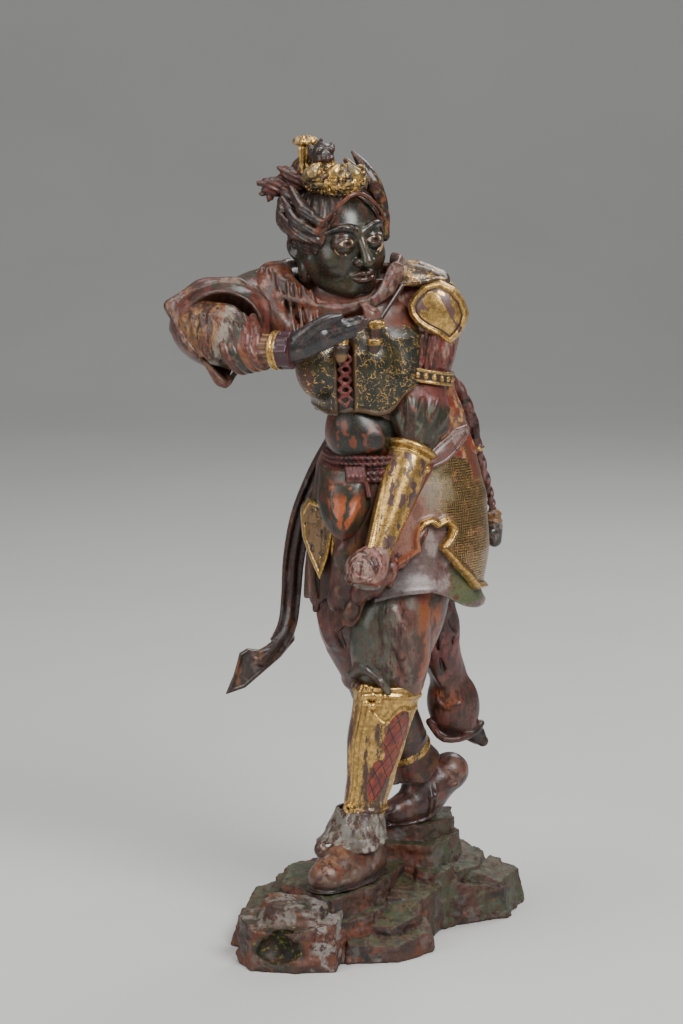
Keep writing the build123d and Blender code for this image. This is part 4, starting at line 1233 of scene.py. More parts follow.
def build_lappets(material):
    """Pointed tongues of engraved gold that hang over the right hip."""
    at = Place("hip_armour_right")
    origin = at(49.2, -21, -426)
    tongues = {"hip_tongue_outer": ([(-72, 452), (-80, 436), (-78, 412), (-70, 392), (-60, 372), (-52, 396),
                                     (-46, 426), (-56, 448)], 6.0, rgb(104, 76, 46), 0.5),
               "hip_tongue_inner": ([(-52, 452), (-50, 402), (-42, 370), (-32, 386), (-28, 452)], 3.6,
                                    rgb(50, 52, 34), 0.16),
               "hip_tongue_front": ([(-31, 452), (-28, 404), (-19, 394), (-11, 420), (-10, 452)], 4.6,
                                    rgb(84, 52, 36), 0.4)}
    for name, (edge_points, lift, colour, gilding) in tongues.items():
        edge_points = [(x + origin[0], z + origin[2]) for x, z in edge_points]

        def tongue(q, edge_points=edge_points, lift=lift):
            side, _ = column(q - origin, SKIRT)
            edge = outline(q, edge_points)
            d = np.abs(side - 4.5 - lift) - 2.6
            d = d - 1.0 * np.exp(-((edge + 2.2) / 1.6) ** 2)
            d = d + 1.2 * tongue_cracks(q) * step(edge, -3.5, -5)
            d = smooth_max(d, edge, 1.6)
            return np.maximum(d, q[:, 1] - at.y(9))

        def tongue_paint(q, n, edge_points=edge_points, colour=colour, gilding=gilding):
            edge = outline(q, edge_points)
            border = step(edge, -5, -3.4)
            cracks = tongue_cracks(q) * (1 - border)
            pale = patch(q, (7, 7, 12), 0.5, 162)
            base = blend(np.tile(colour, (len(q), 1)), (rgb(156, 122, 82), 0.7 * pale),
                         (rgb(150, 112, 62), border), (LACQUER, cracks))
            return base, np.maximum(gilding * (1 - cracks) * (1 - 0.6 * pale), border * 0.75), q

        xs, zs = [p[0] for p in edge_points], [p[1] for p in edge_points]
        piece(name, "figure", tongue, (min(xs) - 6, at.y(-91), min(zs) - 6),
              (max(xs) + 6, at.y(13), max(zs) + 4), MEDIUM, material, tongue_paint, ())


def build_apron(material, cord_material):
    """The animal-pelt waist guard, the disc pinned to it, wrapped cords and the pointed pelt apron."""
    at = Place("front_apron")
    origin = at(29.9, 52, -440)
    edge_points = [(-60, 488), (-63, 456), (-57, 436), (-47, 423), (-37, 418), (-27, 422), (-18, 434),
                   (-9, 452), (-7, 474), (-10, 488)]
    edge_points = [(x + origin[0], z + origin[2]) for x, z in edge_points]
    levels = [(-28, 2, 490, 46, 54), (-30, 2, 462, 50, 62), (-32, 2, 440, 46, 68), (-36, 2, 414, 36, 71)]

    def apron(q):
        side, _ = column(q - origin, levels)
        edge = outline(q, edge_points)
        bulge = 5.0 * step(edge, 0, -16)
        d = np.abs(side + 2 - bulge) - 4.0
        d = smooth_max(d, edge, 5)
        for share in (-0.9, -0.45, 0, 0.45, 0.9):
            d = fold(q, d, [at(-9.1 + share * 4, -18, -10), at(-8.1 + share * 14, -18, 8),
                            at(-5.1 + share * 25, -12, 26)], 1.3, -0.9)
        return np.maximum(d, q[:, 1] - at.y(32))

    def flames(q, seed):
        """Orange tongues that lick upward over dark green."""
        licks = fbm(q * (1, 1, 0.45), 7, 4, seed) + 0.35 * fbm(q, 3, 2, seed + 2)
        return step(licks, 0.12, 0.18)

    def apron_paint(q, n):
        edge = outline(q, edge_points)
        inner = step(edge, -9, -13)
        x, z = q[:, 0] - at.x(-10.1), q[:, 2] - at.z(-20)
        fan = np.arctan2(x * 1.2, z + 4)
        licks = np.cos(fan * 13 + 2.2 * fbm(q, 9, 2, 173)) * 0.5 + 0.5
        licks = step(licks + 0.7 * fbm(q, 5, 3, 174), 0.22, 0.42) * step(z, 50, 36) * step(z, 6, 13)
        base = blend(coat(q, 46, 46, 34), blotch(q, (96, 50, 36), 9, 0.25, 171, 0.7),
                     (rgb(176, 84, 36), 0.9 * inner * np.maximum(licks, step(z, 44, 52) * flames(q, 172))),
                     (rgb(92, 42, 32), step(z, 10, 4)))
        return base, 0.0, q

    carved("front_apron", "figure", apron, (8, 12, 8), (8, 22, 10), MEDIUM, material, apron_paint)

    belly = at(4.9, 26, 79)

    def guard(q):
        d = ball(q, belly + (3, 0, 2), (29, 27, 33))
        d = smooth_min(d, ball(q, belly + (-6, 4, 12), (21, 21, 28)), 10)
        d = smooth_min(d, ball(q, belly + (14, -2, -4), (18, 24, 20)), 6)
        d = fold(q, d, [belly + (-22, -22, 22), belly + (-16, -29, -2), belly + (-20, -22, -24)], 3, -2.4)
        d = fold(q, d, [belly + (-8, -24, 26), belly + (6, -30, 12), belly + (10, -28, 0),
                        belly + (26, -18, -12)], 1.6, -1.8)
        edge = ring(q, belly + (19, -23, -3), 8.5, 0.9, axes((0.55, -1, 0.1)))
        d = smooth_min(smooth_min(d, ball(q, belly + (19, -20, -3), (8, 4, 9)), 3), edge, 1.5)
        wide = ball(q, belly + (13, 20, -2), (43, 42, 34))
        return smooth_min(d, wide, 8)

    def guard_paint(q, n):
        seen = np.linalg.norm(q - (belly + (19, -25, -3)), axis=1)
        on_disc, rim = step(seen, 10, 8), step(np.abs(seen - 9.5), 1.8, 1.0)
        strip = step(q[:, 0], belly[0] - 20, belly[0] - 26)
        base = blend(coat(q, 38, 38, 31), (rgb(132, 60, 32), 0.8 * flames(q, 181) * (1 - strip)),
                     (rgb(104, 54, 38), strip),
                     (rgb(70, 48, 40), strip * 0.8 * patch(q, (5, 5, 18), 0.4, 182)),
                     (rgb(44, 48, 46), 0.8 * on_disc), (rgb(116, 74, 62), rim * 0.5))
        return base, 0.0, q

    piece("waist_pelt", "figure", guard, belly - (46, 38, 42), belly + (68, 70, 42), MEDIUM, material,
          guard_paint, ())

    middle = at(25.9, 60, -440)

    def cords(q):
        d = np.full(len(q), FAR)
        for k, (z, thick) in enumerate(((39, 3.4), (45, 3.4), (53, 2.6), (58, 2.4))):
            q_round = np.hypot(q[:, 0] - middle[0], (q[:, 1] - middle[1]) / 1.22) - 51
            turn = np.arctan2(q[:, 1] - middle[1], q[:, 0] - middle[0])
            height = q[:, 2] - at.z(z) + 1.2 * np.sin(turn * 3 + k)
            twist = 0.4 * np.cos(turn * 66 + np.arctan2(height, q_round) * 2)
            d = smooth_min(d, np.hypot(q_round, height) - thick - twist, 1.0)
        band = np.hypot(q[:, 0] - middle[0], (q[:, 1] - middle[1]) / 1.22) - 49
        d = smooth_min(d, np.maximum(shell(band, 3), between(q, at.z(34), at.z(60))), 2)
        knot = at(5.9, -5, 40)
        for k in range(5):
            d = smooth_min(d, limb(q, [knot + (k * 4 - 9, 1, 9), knot + (k * 4 - 8, -5, 0),
                                       knot + (k * 4 - 8, 0, -8)], [2.6, 3.0, 2.4], 5), 0.8)
        for x in (-7, 2, 10):
            d = smooth_min(d, limb(q, [knot + (x, -4, -4), knot + (x * 1.3, -6, -18)], [2.0, 3.2], 2), 0.8)
        return d

    def cord_paint(q, n):
        return blend(coat(q, 88, 32, 32), blotch(q, (126, 74, 66), 4, 0.2, 191, 0.6),
                     (LACQUER, 0.8 * patch(q, 6, 0.3, 192))), 0.03, q

    piece("waist_cord_carved", "figure", cords, at(-40.1, -18, 22), at(91.9, 136, 66), FINE, cord_material,
          cord_paint, ["waist_cord"])


def build_hangings(cloth_material, leather_material):
    """The streaming drape behind, the scarf tail at the right and the cord with its cap at the left."""
    at = Place("streaming_drape")

    def drape(q):
        d = limb(q, [at(-21.2, -48.8, 91), at(-21.2, -34.8, 57), at(-17.2, -20.8, 23), at(-9.2, -8.8, -3)],
                 [18, 21, 21, 19], 8)
        d = smooth_min(d, ball(q, at(-2.2, -2.8, -39), (27, 20, 38), axes((0.16, 0.1, -1))), 8)
        d = smooth_min(d, limb(q, [at(12.8, 3.2, -65), at(22.8, 5.2, -75), at(28.8, 5.2, -81)], [13, 10, 6],
                               6), 4)
        d = creases(q, d, at, (3.4, 4.2, (-25.2, -72.8, 85), (-15.2, -54.8, 57), (0.8, -38.8, 39)),
                    (4.0, 4.4, (-13.2, -70.8, 89), (-1.2, -52.8, 69), (0.8, -34.8, 45), (-5.2, -24.8, 19)),
                    (4.4, 4.4, (-33.2, -60.8, 75), (-29.2, -44.8, 39), (-23.2, -30.8, 7),
                     (-13.2, -26.8, -21)), (2.4, -4.2, (-27.2, -62.8, 65), (-21.2, -44.8, 35),
                                            (-13.2, -30.8, 1)), (2.4, -4.0, (-7.2, -54.8, 65),
                                                                 (-5.2, -40.8, 41), (-9.2, -28.8, 15)))
        hem = [at(-27.2, -8.8, -57), at(-15.2, -20.8, -71), at(2.8, -18.8, -73), at(18.8, -6.8, -69),
               at(26.8, 1.2, -61)]
        d = smooth_min(d, limb(q, hem, [3.6] * 5, 10), 2.5)
        d = fold(q, d, [at(-23.2, -18.8, -29), at(-11.2, -24.8, -39), at(6.8, -22.8, -35)], 3.0, 2.4)
        return d + 0.4 * fbm(q, (10, 10, 22), 2, 10)

    def drape_paint(q, n):
        x, z = q[:, 0] - at.x(-79.2), q[:, 2] - at.z(-261)
        upper = step(z, 262, 282)
        base = blend(coat(q, 82, 48, 42), (rgb(108, 38, 40), upper * 0.8),
                     (rgb(166, 90, 48), 0.8 * step(np.hypot(x - 70, z - 236), 24, 8)),
                     blotch(q, (52, 46, 42), (9, 9, 22), 0.35, 202, 0.8),
                     blotch(q, (132, 76, 70), (7, 7, 16), 0.25, 203, 0.6),
                     (rgb(30, 26, 25), step(x, 94, 99) * step(z, 200, 194)))
        return base, 0.0, q

    carved("streaming_drape", "figure", drape, (12, 46, 8), (10, 6, 26), MEDIUM, cloth_material,
           drape_paint)

    at_t = Place("scarf_tail")
    path = curve([at_t(55, 4.2, 124.4), at_t(39, 12.2, 94.4), at_t(21, 16.2, 49.4), at_t(12, 16.2, 4.4),
                  at_t(9, 14.2, -35.6), at_t(5, 8.2, -63.6), at_t(-7, 2.2, -83.6), at_t(-23, -5.8, -97.6)],
                 26)
    blade = front(at_t, (11, -57.6), (3, -69.6), (-9, -81.6), (-23, -86.6), (-35, -83.6), (-43, -87.6),
                  (-45, -95.6), (-49, -109.6), (-57, -128.6), (-37, -123.6), (-19, -109.6), (-1, -95.6),
                  (13, -79.6))

    def tail(q):
        d, share, foot = along(q, path)
        run = unit(path[-1] - path[0])
        flat = unit(np.cross(run, (0.25, -1, 0.1)))
        away = q - foot
        across = away @ flat
        rest = np.linalg.norm(away - np.outer(across, flat), axis=1)
        width = np.interp(share, (0, 0.3, 0.55, 0.75, 1), (13, 12, 9, 8, 8))
        d = np.hypot(np.maximum(np.abs(across) - width + 4, 0), rest) - 4.2
        d = d - 1.5 * np.cos(across * 0.66) * step(share, 1.0, 0.86)
        level = at_t.y(-3.8) + (q[:, 0] - at_t.x(-23)) * 0.5
        edge = outline(q, blade)
        leaf = smooth_max(np.abs(q[:, 1] - level) * 0.9 - 3.0 - 1.2 * np.exp(-((edge + 2) / 2) ** 2), edge, 2)
        return smooth_min(d, leaf, 4)

    def tail_paint(q, n):
        return blend(coat(q, 58, 44, 40), blotch(q, (124, 82, 50), (6, 6, 26), 0.25, 211, 0.7),
                     blotch(q, (112, 106, 104), (5, 5, 24), 0.22, 212, 0.6)), 0.08, q

    carved("scarf_tail", "figure", tail, 10, 8, FINE, leather_material, tail_paint)

    at_c = Place("hip_cord")
    cord_path = curve([at_c(-36.2, -20, 60.3), at_c(-10.2, -8, 70.3), at_c(9.8, 0, 44.3),
                       at_c(20.8, 6, 6.3), at_c(29.8, 8, -27.7), at_c(36.8, 10, -55.7),
                       at_c(39.8, 12, -71.7)], 24)
    loop_path = curve([at_c(-16.2, -4, 64.3), at_c(1.8, -2, 52.3), at_c(19.8, 4, 24.3),
                       at_c(21.8, 10, -3.7)], 10)
    bead = at_c(23.8, 7, -5.7)

    def cord(q):
        d, share, foot = along(q, cord_path)
        away = q - foot
        twist = np.cos(np.arctan2(away[:, 1], away[:, 0]) * 2 + share * 70)
        d = d - np.interp(share, (0, 0.3, 0.6, 1), (6, 6.5, 4.4, 3.6)) - 0.9 * twist
        second, _, _ = along(q, loop_path)
        d = smooth_min(d, second - 4.2, 1.5)
        return smooth_min(d, ring(q, bead, 5.2, 2.0, axes((0.3, 0, -1))), 1)

    def cord_paint(q, n):
        near_bead = step(np.linalg.norm((q - bead) * (0.8, 0.8, 1.6), axis=1), 6.6, 5.4)
        base = blend(coat(q, 92, 56, 50), blotch(q, (134, 96, 88), (5, 5, 14), 0.35, 221),
                     (LACQUER, patch(q, 7, 0.3, 222)))
        return base, 0.06 + 0.8 * near_bead, q

    carved("hip_cord", "figure", cord, 8, 6, FINE, cloth_material, cord_paint)

    at_p = Place("hip_cord_cap")

    def cap(q):
        d = limb(q, [at_p(-0.8, -0.7, 15.2), at_p(0.2, -0.7, 2.2), at_p(0.2, -0.7, -11.8)], [6.6, 8.6, 7.4],
                 5)
        d = smooth_min(d, ring(q, at_p(-0.3, -0.7, 8.2), 7.4, 1.6), 1)
        for k in range(5):
            turn = 2 * math.pi * k / 5
            d = smooth_min(d, ball(q, at_p(-0.8 + 5.6 * math.cos(turn), -0.7 + 5.6 * math.sin(turn), 15.2),
                                   2.8), 1.2)
        bore = np.hypot(q[:, 0] - at_p.x(-0.8), q[:, 2] - at_p.z(-1.8)) - 2.2
        return smooth_max(d, -bore, 0.8)

    def cap_paint(q, n):
        top = step(q[:, 2], at_p.z(5.2), at_p.z(8.2))
        base = blend(coat(q, 62, 58, 54), (rgb(134, 96, 62), top), (GREY, patch(q, 5, 0.3, 231)))
        return base, 0.1, q

    carved("hip_cord_cap", "figure", cap, 3, 4, FINE, leather_material, cap_paint)


# ---------------------------------------------------------------- torso
TORSO = ((-12, 8, 470, 52, 46), (-14, 5, 497, 48, 44), (-8, 2, 538, 53, 50), (-11, 0, 578, 66, 55),
         (-18, 3, 616, 72, 51), (-26, 7, 644, 62, 42), (-30, 8, 664, 44, 34))


def build_cuirass(material, cord_material):
    """Breast and back plates with rolled rims, the woven chain between the breasts and the straps."""
    at = Place("torso_front")
    origin = at(14.8, 25.3, -570.5)

    def lower_rim(q):
        x, y = q[:, 0] - origin[0], q[:, 1] - origin[1]
        front = origin[2] + 549 - 8 * np.exp(-((x + 48) / 20) ** 2) - 6 * np.exp(-((x + 2) / 16) ** 2)
        front = front + 16 * step(x, 8, 30)
        return np.where(y < 10, front, origin[2] + 540)

    def plates(q):
        side, _ = column(q - origin, TORSO)
        body = side
        for x, y, z, wide, tall in ((-60, -34, 588, 21, 30), (-10, -44, 590, 22, 30)):
            body = smooth_min(body, ball(q, origin + (x, y, z), (wide, 20, tall)), 7)
        x, z = q[:, 0] - origin[0], q[:, 2] - origin[2]
        gap = np.abs(x + 35 + (z - 590) * 0.02)
        facing = step(q[:, 1], origin[1] - 20, origin[1] - 34)
        groove = step(gap, 9, 6) * facing * step(z, 612, 600)
        edge = np.exp(-((gap - 9.5) / 1.6) ** 2) * facing * step(z, 612, 600)
        d = body - 3.4 + 2.6 * groove - 1.2 * edge
        rim = np.abs(q[:, 2] - lower_rim(q))
        d = d - 1.6 * np.exp(-(rim / 2.2) ** 2)
        above = smooth_max(d, lower_rim(q) - 3 - q[:, 2], 2.0)
        waist = smooth_max(side + 8, between(q, at.z(-96.5), at.z(-18.5)), 2)
        d = smooth_min(above, waist, 1.5)
        d = smooth_max(d, q[:, 2] - at.z(101.5), 4)
        return d + 0.35 * fbm(q, 14, 2, 12)

    def plate_paint(q, n):
        x, z = q[:, 0] - origin[0], q[:, 2] - origin[2]
        gap = np.abs(x + 35 + (z - 590) * 0.02)
        rim = step(np.abs(q[:, 2] - lower_rim(q)), 3.0, 2.2)
        front = step(q[:, 1], origin[1] - 16, origin[1] - 26)
        middle = step(gap, 10, 9) * front
        edge = step(np.abs(gap - 9.5), 2.2, 1.4) * front * step(z, 614, 606)
        under = step(q[:, 2], lower_rim(q) - 4, lower_rim(q) - 6)
        chest = step(z + 4 * fbm(q, 10, 2, 302), 624, 630)
        base = blend(coat(q, 34, 36, 27), blotch(q, (66, 60, 34), 12, 0.3, 301, 0.8),
                     (rgb(48, 26, 22), middle), (rgb(98, 52, 36), step(x, -62, -72) * step(z, 600, 570)),
                     (rgb(92, 54, 36), under), (rgb(110, 60, 42), chest),
                     (rgb(62, 34, 28), 0.8 * chest * patch(q, (5, 5, 12), 0.3, 303)),
                     (rgb(100, 74, 46), 0.8 * np.maximum(rim, edge)))
        pattern = (1 - middle) * (1 - rim) * (1 - under) * (1 - chest)
        lay = sheet(x, z, pattern)
        return base, 0.34 * np.maximum(rim, edge) + 0.04, lay

    low, high = box("torso_front")
    piece("cuirass", "figure", plates, (low[0] - 12, low[1] - 18, at.z(-102.5)),
          (high[0] + 14, at.y(93.3), at.z(109.5)), MEDIUM, material, plate_paint,
          ["torso_front", "torso_back"])

    def chain(q):
        d = np.full(len(q), FAR)
        for z in (597, 587, 577, 567, 557):
            spun = local(q, origin + (-35, -54.5, z))
            lozenge = np.abs(spun[:, 0]) + np.abs(spun[:, 2])
            link = np.hypot(lozenge * 0.72 - 4.4, np.maximum(np.abs(spun[:, 1]) - 0.6, 0) * 1.1) - 1.8
            d = smooth_min(d, link, 1.0)
        return d

    def chain_paint(q, n):
        return blend(coat(q, 110, 42, 38), blotch(q, (150, 92, 82), 4, 0.3, 311, 0.7)), 0.0, q

    piece("breast_chain", "figure", chain, at(-35.2, -40.7, -24.5), at(-5.2, -20.7, 41.5), FINE,
          cord_material, chain_paint, ())


def build_straps(material):
    """The cup-shaped knob and the two tasselled strap ends that hang from the shoulders."""
    at = Place("strap_ends")

    def straps(q):
        right = limb(q, [at(18, -3, 25.5), at(17.5, -6, 13.5), at(17.5, -5, 3.5)], [7, 5.6, 5], 4)
        right = smooth_min(right, slab(q, at(19, -5, 25.5), (8, 5, 3.2), None, 2), 1)
        right = smooth_min(right, ring(q, at(17, -6, 9.5), 6.2, 2.2), 1)
        right = smooth_min(right, limb(q, [at(16, -7, 6.5), at(15.5, -7, -0.5), at(15, -6, -7.5)],
                                       [7.2, 6.6, 2.4], 5), 0.6)
        left = limb(q, [at(-13, 1, 25.5), at(-14, -4, 9.5), at(-15.5, -6, -2.5)], [4, 5.6, 6.4], 5)
        left = smooth_min(left, limb(q, [at(-15.5, -7, -0.5), at(-16, -7, -8.5), at(-16.5, -6, -13.5)],
                                     [7, 6, 2.4], 5), 0.6)
        left = smooth_min(left, ring(q, at(-15, -6, 2.5), 5.6, 2.0), 1)
        strap = limb(q, [at(45, 19, 61.5), at(31, 7, 41.5), at(21, -3, 27.5)], [2.4, 2.4, 2.4], 6,
                     (0.5, -1, 0), 0.6)
        return smooth_min(np.minimum(left, right), strap, 1)

    def strap_paint(q, n):
        gold = step(np.abs(q[:, 2] - at.z(25.5)), 4.5, 3.5) * step(q[:, 0], at.x(1), at.x(3))
        gold = np.maximum(gold, step(np.abs(q[:, 2] - at.z(8.5)), 3.4, 2.4))
        gold = np.maximum(gold, step(np.abs(q[:, 2] - at.z(-7.5)), 5, 3) * 0.6)
        red = step(q[:, 2], at.z(5.5), at.z(8.5)) * step(q[:, 0], at.x(-3), at.x(-5))
        return blend(coat(q, 64, 50, 42), (rgb(140, 52, 44), red), (rgb(160, 120, 70), gold)), gold * 0.7, q

    piece("strap_ends_carved", "figure", straps, at(-27, -21, -20.5), at(55, 29, 69.5), FINE, material,
          strap_paint, ["strap_ends"])

    at_k = Place("chest_knob")
    rows = axes((0.25, -1, 0.35))

    def knob(q):
        body = ball(q, at_k(1.5, -3.2, 3), (9.0, 7.4, 4.6), rows)
        leaf = limb(q, [at_k(1, -4.2, 5), at_k(-5, -3.2, 11), at_k(-11, -0.2, 14)], [5.5, 4.0, 1.4], 8)
        d = smooth_min(body, leaf, 3)
        return fold(q, d, [at_k(9, -7.2, 3), at_k(1, -9.2, 7), at_k(-7, -6.2, 12)], 1.4, -1.4)

    def knob_paint(q, n):
        return blend(coat(q, 122, 86, 74), blotch(q, (84, 44, 38), 5, 0.35, 331, 0.8)), 0.05, q

    carved("chest_knob", "figure", knob, (6, 12, 6), (6, 6, 12), FINE, material, knob_paint)


def build_scarf(material):
    """The collar and the heavy scarf wound round the neck and over the right shoulder."""
    at = Place("neck_scarf")
    loop = curve([at(41.2, -31.4, 23), at(19.2, -51.4, 7), at(-6.8, -55.4, -3), at(-34.8, -53.4, -3),
                  at(-60.8, -37.4, 5), at(-76.8, -9.4, 15), at(-66.8, 22.6, 19), at(-34.8, 40.6, 13),
                  at(3.2, 42.6, 15), at(35.2, 32.6, 19), at(51.2, 6.6, 27), at(41.2, -31.4, 23)], 44)
    widths = [4, 4, 6, 9, 15, 19, 18, 14, 13, 12, 8, 4]

    def scarf(q):
        d, share, foot = along(q, loop)
        away = q - foot
        up = away[:, 2]
        out = np.hypot(away[:, 0], away[:, 1]) * np.sign(away[:, 0] * (foot[:, 0] - at.x(-12.8))
                                                         + away[:, 1] * (foot[:, 1] - at.y(-7.4)) + 1e-6)
        turn = np.arctan2(up, out)
        radius = np.interp(share, np.linspace(0, 1, len(widths)), widths)
        flutes = np.cos(turn * 6 + share * 14)
        d = d - radius - 2.6 * flutes * step(radius, 7, 12)
        fall = limb(q, [at(-76.8, -13.4, 19), at(-84.8, -33.4, 5), at(-72.8, -53.4, -15),
                        at(-48.8, -59.4, -31)], [20, 18, 14, 8], 8)
        fall = smooth_min(fall, limb(q, [at(-44.8, -47.4, 1), at(-38.8, -57.4, -17), at(-34.8, -61.4, -31)],
                                     [12, 9, 5], 6), 5)
        d = smooth_min(d, fall, 6)
        starts = [at(-96.8, -15.4, 35), at(-72.8, -37.4, 35), at(-42.8, -51.4, 21)]
        ends = [at(-88.8, -55.4, -13), at(-64.8, -67.4, -27), at(-28.8, -71.4, -33)]
        d = folds(q, d, starts, ends, 9, 2.0, 4.4)
        d = folds(q, d, [p + (3.6, 0, 0) for p in starts], [p + (3.6, 0, 0) for p in ends], 9, 1.5, -2.6)
        wing = limb(q, [at(43.2, -33.4, 29), at(46.2, -15.4, 35), at(40.2, 6.6, 37)], [10, 11, 9], 6,
                    (1, -0.4, 0), 0.28)
        lapel = limb(q, [at(42.2, -37.4, 31), at(32.2, -51.4, 15), at(14.2, -61.4, -1)], [10, 8.5, 3.5], 8,
                     (0.5, -1, 0.2), 0.3)
        lapel = creases(q, lapel, at,
                        (1.6, 1.8, (35.2, -47.4, 33), (24.2, -59.4, 15), (7.2, -64.4, -1)),
                        (1.4, -1.6, (41.2, -45.4, 29), (30.2, -57.4, 12), (14.2, -65.4, -2)))
        d = smooth_min(d, smooth_min(wing, lapel, 2), 1.5)
        inner = np.hypot(q[:, 0] - at.x(-16.8), (q[:, 1] - at.y(-9.4))) - 27
        return smooth_max(d, -inner, 2) + 0.5 * fbm(q, 8, 2, 14)

    def scarf_paint(q, n):
        right = step(q[:, 0], at.x(-20.8), at.x(-32.8))
        long = q * (1, 1, 0.25) + q[:, 2:] * (0.25, 0, 0)
        base = blend(coat(q, 104, 74, 62), (rgb(110, 58, 36), right))
        return blend(base, (rgb(148, 78, 42), 0.8 * right * patch(long, 6, 0.3, 321)),
                     (rgb(140, 120, 106), 0.7 * (1 - 0.6 * right) * patch(q, (12, 12, 4), 0.34, 322)),
                     # dark streaks along the cloth: painted shade for the grooves of the folds
                     (rgb(62, 34, 28), 0.8 * patch(long, 5, 0.34, 323)),
                     (rgb(124, 44, 46), 0.7 * (1 - right) * patch(q, 5, 0.2, 324)),
                     (rgb(70, 74, 52), 0.7 * patch(long, 5, 0.14, 325))), 0.06, q

    low, high = box("neck_scarf")
    piece("neck_scarf_carved", "figure", scarf, (low[0] - 44, low[1] - 26, low[2] - 20),
          (high[0] + 8, high[1] + 12, high[2] + 32), MEDIUM, material, scarf_paint, ["neck_scarf"])


# ---------------------------------------------------------------- arms
def build_right_sleeve(cloth_material, gilt_material, pattern_material):
    """The wide outer sleeve, the puffed sleeve inside it, the ribbed vambrace and its cuff."""
    at = Place("right_upper_arm")
    edge = curve([at(-70.6, -35, 24.7), at(-62.6, -47, 6.7), at(-50.6, -59, -11.3), at(-32.6, -65, -29.3),
                  at(-15.6, -65, -47.3), at(-2.6, -57, -33.3), at(13.4, -43, -13.3), at(23.4, -31, 10.7),
                  at(19.4, -21, 30.7), at(1.4, -19, 42.7), at(-16.6, -21, 48.7), at(-36.6, -25, 45.7),
                  at(-56.6, -29, 36.7), at(-70.6, -35, 24.7)], 52)
    mouth_rows = axes((0.2, -1, 0.05))

    def sleeve(q):
        d = limb(q, [at(49.4, 39, 22.7), at(23.4, 27, 24.7), at(-4.6, 3, 14.7)], [27, 31, 32], 8)
        d = smooth_min(d, ball(q, at(-20.6, -19, 4.7), (50, 42, 44), mouth_rows), 14)
        d = smooth_min(d, limb(q, [at(-22.6, -35, -15.3), at(-16.6, -57, -43.3)], [22, 5], 2), 12)
        d = smooth_min(d, limb(q, [at(-48.6, -27, 14.7), at(-68.6, -33, 24.7)], [20, 4], 2), 12)
        d = smooth_max(d, -ball(q, at(-16.6, -63, 2.7), (40, 40, 43), mouth_rows), 4)
        away, share, _ = along(q, edge)
        d = smooth_min(d, away - 4.0 - 1.4 * np.cos(share * 44), 5)
        starts = [at(-62.6, -9, 38.7), at(-40.6, 17, 50.7), at(-4.6, 43, 42.7)]
        ends = [at(-68.6, -23, -3.3), at(-48.6, -3, -37.3), at(-14.6, -3, -39.3)]
        d = folds(q, d, starts, ends, 7, 4.2, 3.6, (0, 6, 0))
        return d + 0.5 * fbm(q, 10, 2, 15)

    def sleeve_paint(q, n):
        away, _, _ = along(q, edge)
        rim = step(away, 7.5, 5)
        # darker inside the sleeve's mouth, in stripes: painted shade in the opening
        inside = step(ball(q, at(-16.6, -63, 2.7), (40, 40, 43), mouth_rows), 5, 2) * (1 - rim)
        stripes = 0.5 + 0.5 * np.cos(local(q, at(-14.6, -33, 4.7), mouth_rows)[:, 0] * 0.9)
        top = step(q[:, 2], at.z(24.7), at.z(38.7))
        return blend(coat(q, 92, 44, 36), blotch(q, (132, 80, 66), (9, 9, 16), 0.3, 401, 0.7),
                     (GREEN * 1.3, top * patch(q, 10, 0.6, 402)), (LACQUER, 0.8 * patch(q, 12, 0.3, 403)),
                     (rgb(128, 98, 76), 0.8 * rim * patch(q, 9, 0.5, 404)), (rgb(78, 48, 36), inside),
                     (rgb(46, 30, 26), inside * stripes)), 0.05, q

    low, high = box("right_upper_arm")
    piece("right_wide_sleeve", "figure", sleeve, (at.x(-82.6), low[1] - 14, at.z(-59.3)),
          (high[0] + 10, high[1] + 16, at.z(64.7)), MEDIUM, cloth_material, sleeve_paint,
          ["right_upper_arm"])

    at_f = Place("right_forearm")

    def puff(q):
        d = limb(q, [at_f(-39.8, 27.5, 16), at_f(-21.8, 15.5, 10), at_f(2.2, -0.5, -1)], [26, 31, 25], 10)
        tops = [at_f(-57.8, 11.5, 28), at_f(-29.8, -8.5, 38), at_f(0.2, -14.5, 26)]
        feet = [at_f(-39.8, -0.5, -12), at_f(-9.8, -20.5, -18), at_f(12.2, -22.5, -10)]
        d = folds(q, d, tops, feet, 8, 3.0, 4.6)
        d = folds(q, d, [p + (4.5, 0, 0) for p in tops], [p + (4.5, 0, 0) for p in feet], 8, 1.6, -2.4)
        for shift, thick in ((0, 6.5), (10, 5.5)):
            band = [at_f(0.2 + shift, 7.5, 28), at_f(4.2 + shift, -16.5, 14), at_f(2.2 + shift, -20.5, -6),
                    at_f(-3.8 + shift, -2.5, -22)]
            d = smooth_min(d, limb(q, band, [thick * 0.7, thick, thick, thick * 0.7], 8), 1.5)
        return d

    def puff_paint(q, n):
        way = q[:, 0] - at_f.x(-15.8) - 0.35 * (q[:, 2] - at_f.z(11))
        pale, green, roll = step(way, -12, -6), step(way, 0, 4), step(way, 12, 15)
        lay = sheet(q[:, 0], q[:, 2], 1 - pale)
        base = blend(coat(q, 128, 88, 56), (rgb(142, 130, 114), pale), (rgb(54, 60, 44), green),
                     (rgb(104, 50, 40), roll))
        return blend(base, (rgb(158, 126, 82), 0.8 * (1 - pale) * patch(q, 8, 0.4, 411)),
                     blotch(q, (80, 52, 42), 7, 0.25, 412, 0.7),
                     (rgb(140, 84, 72), 0.6 * roll * patch(q, 6, 0.4, 413))), 0.25 * (1 - pale), lay

    piece("right_puffed_sleeve", "figure", puff, at_f(-71.8, -34.5, -36), at_f(30.2, 55.5, 56), MEDIUM,
          pattern_material, puff_paint, ())

    wrist, elbow = at_f(48.2, -25.5, 0), at_f(-9.8, 1.5, -4)
    run = unit(wrist - elbow)
    rows = axes(run, (0, 0, 1))
    twist = axes(unit(run + (0, 0, 0.42)), (0, 0, 1))

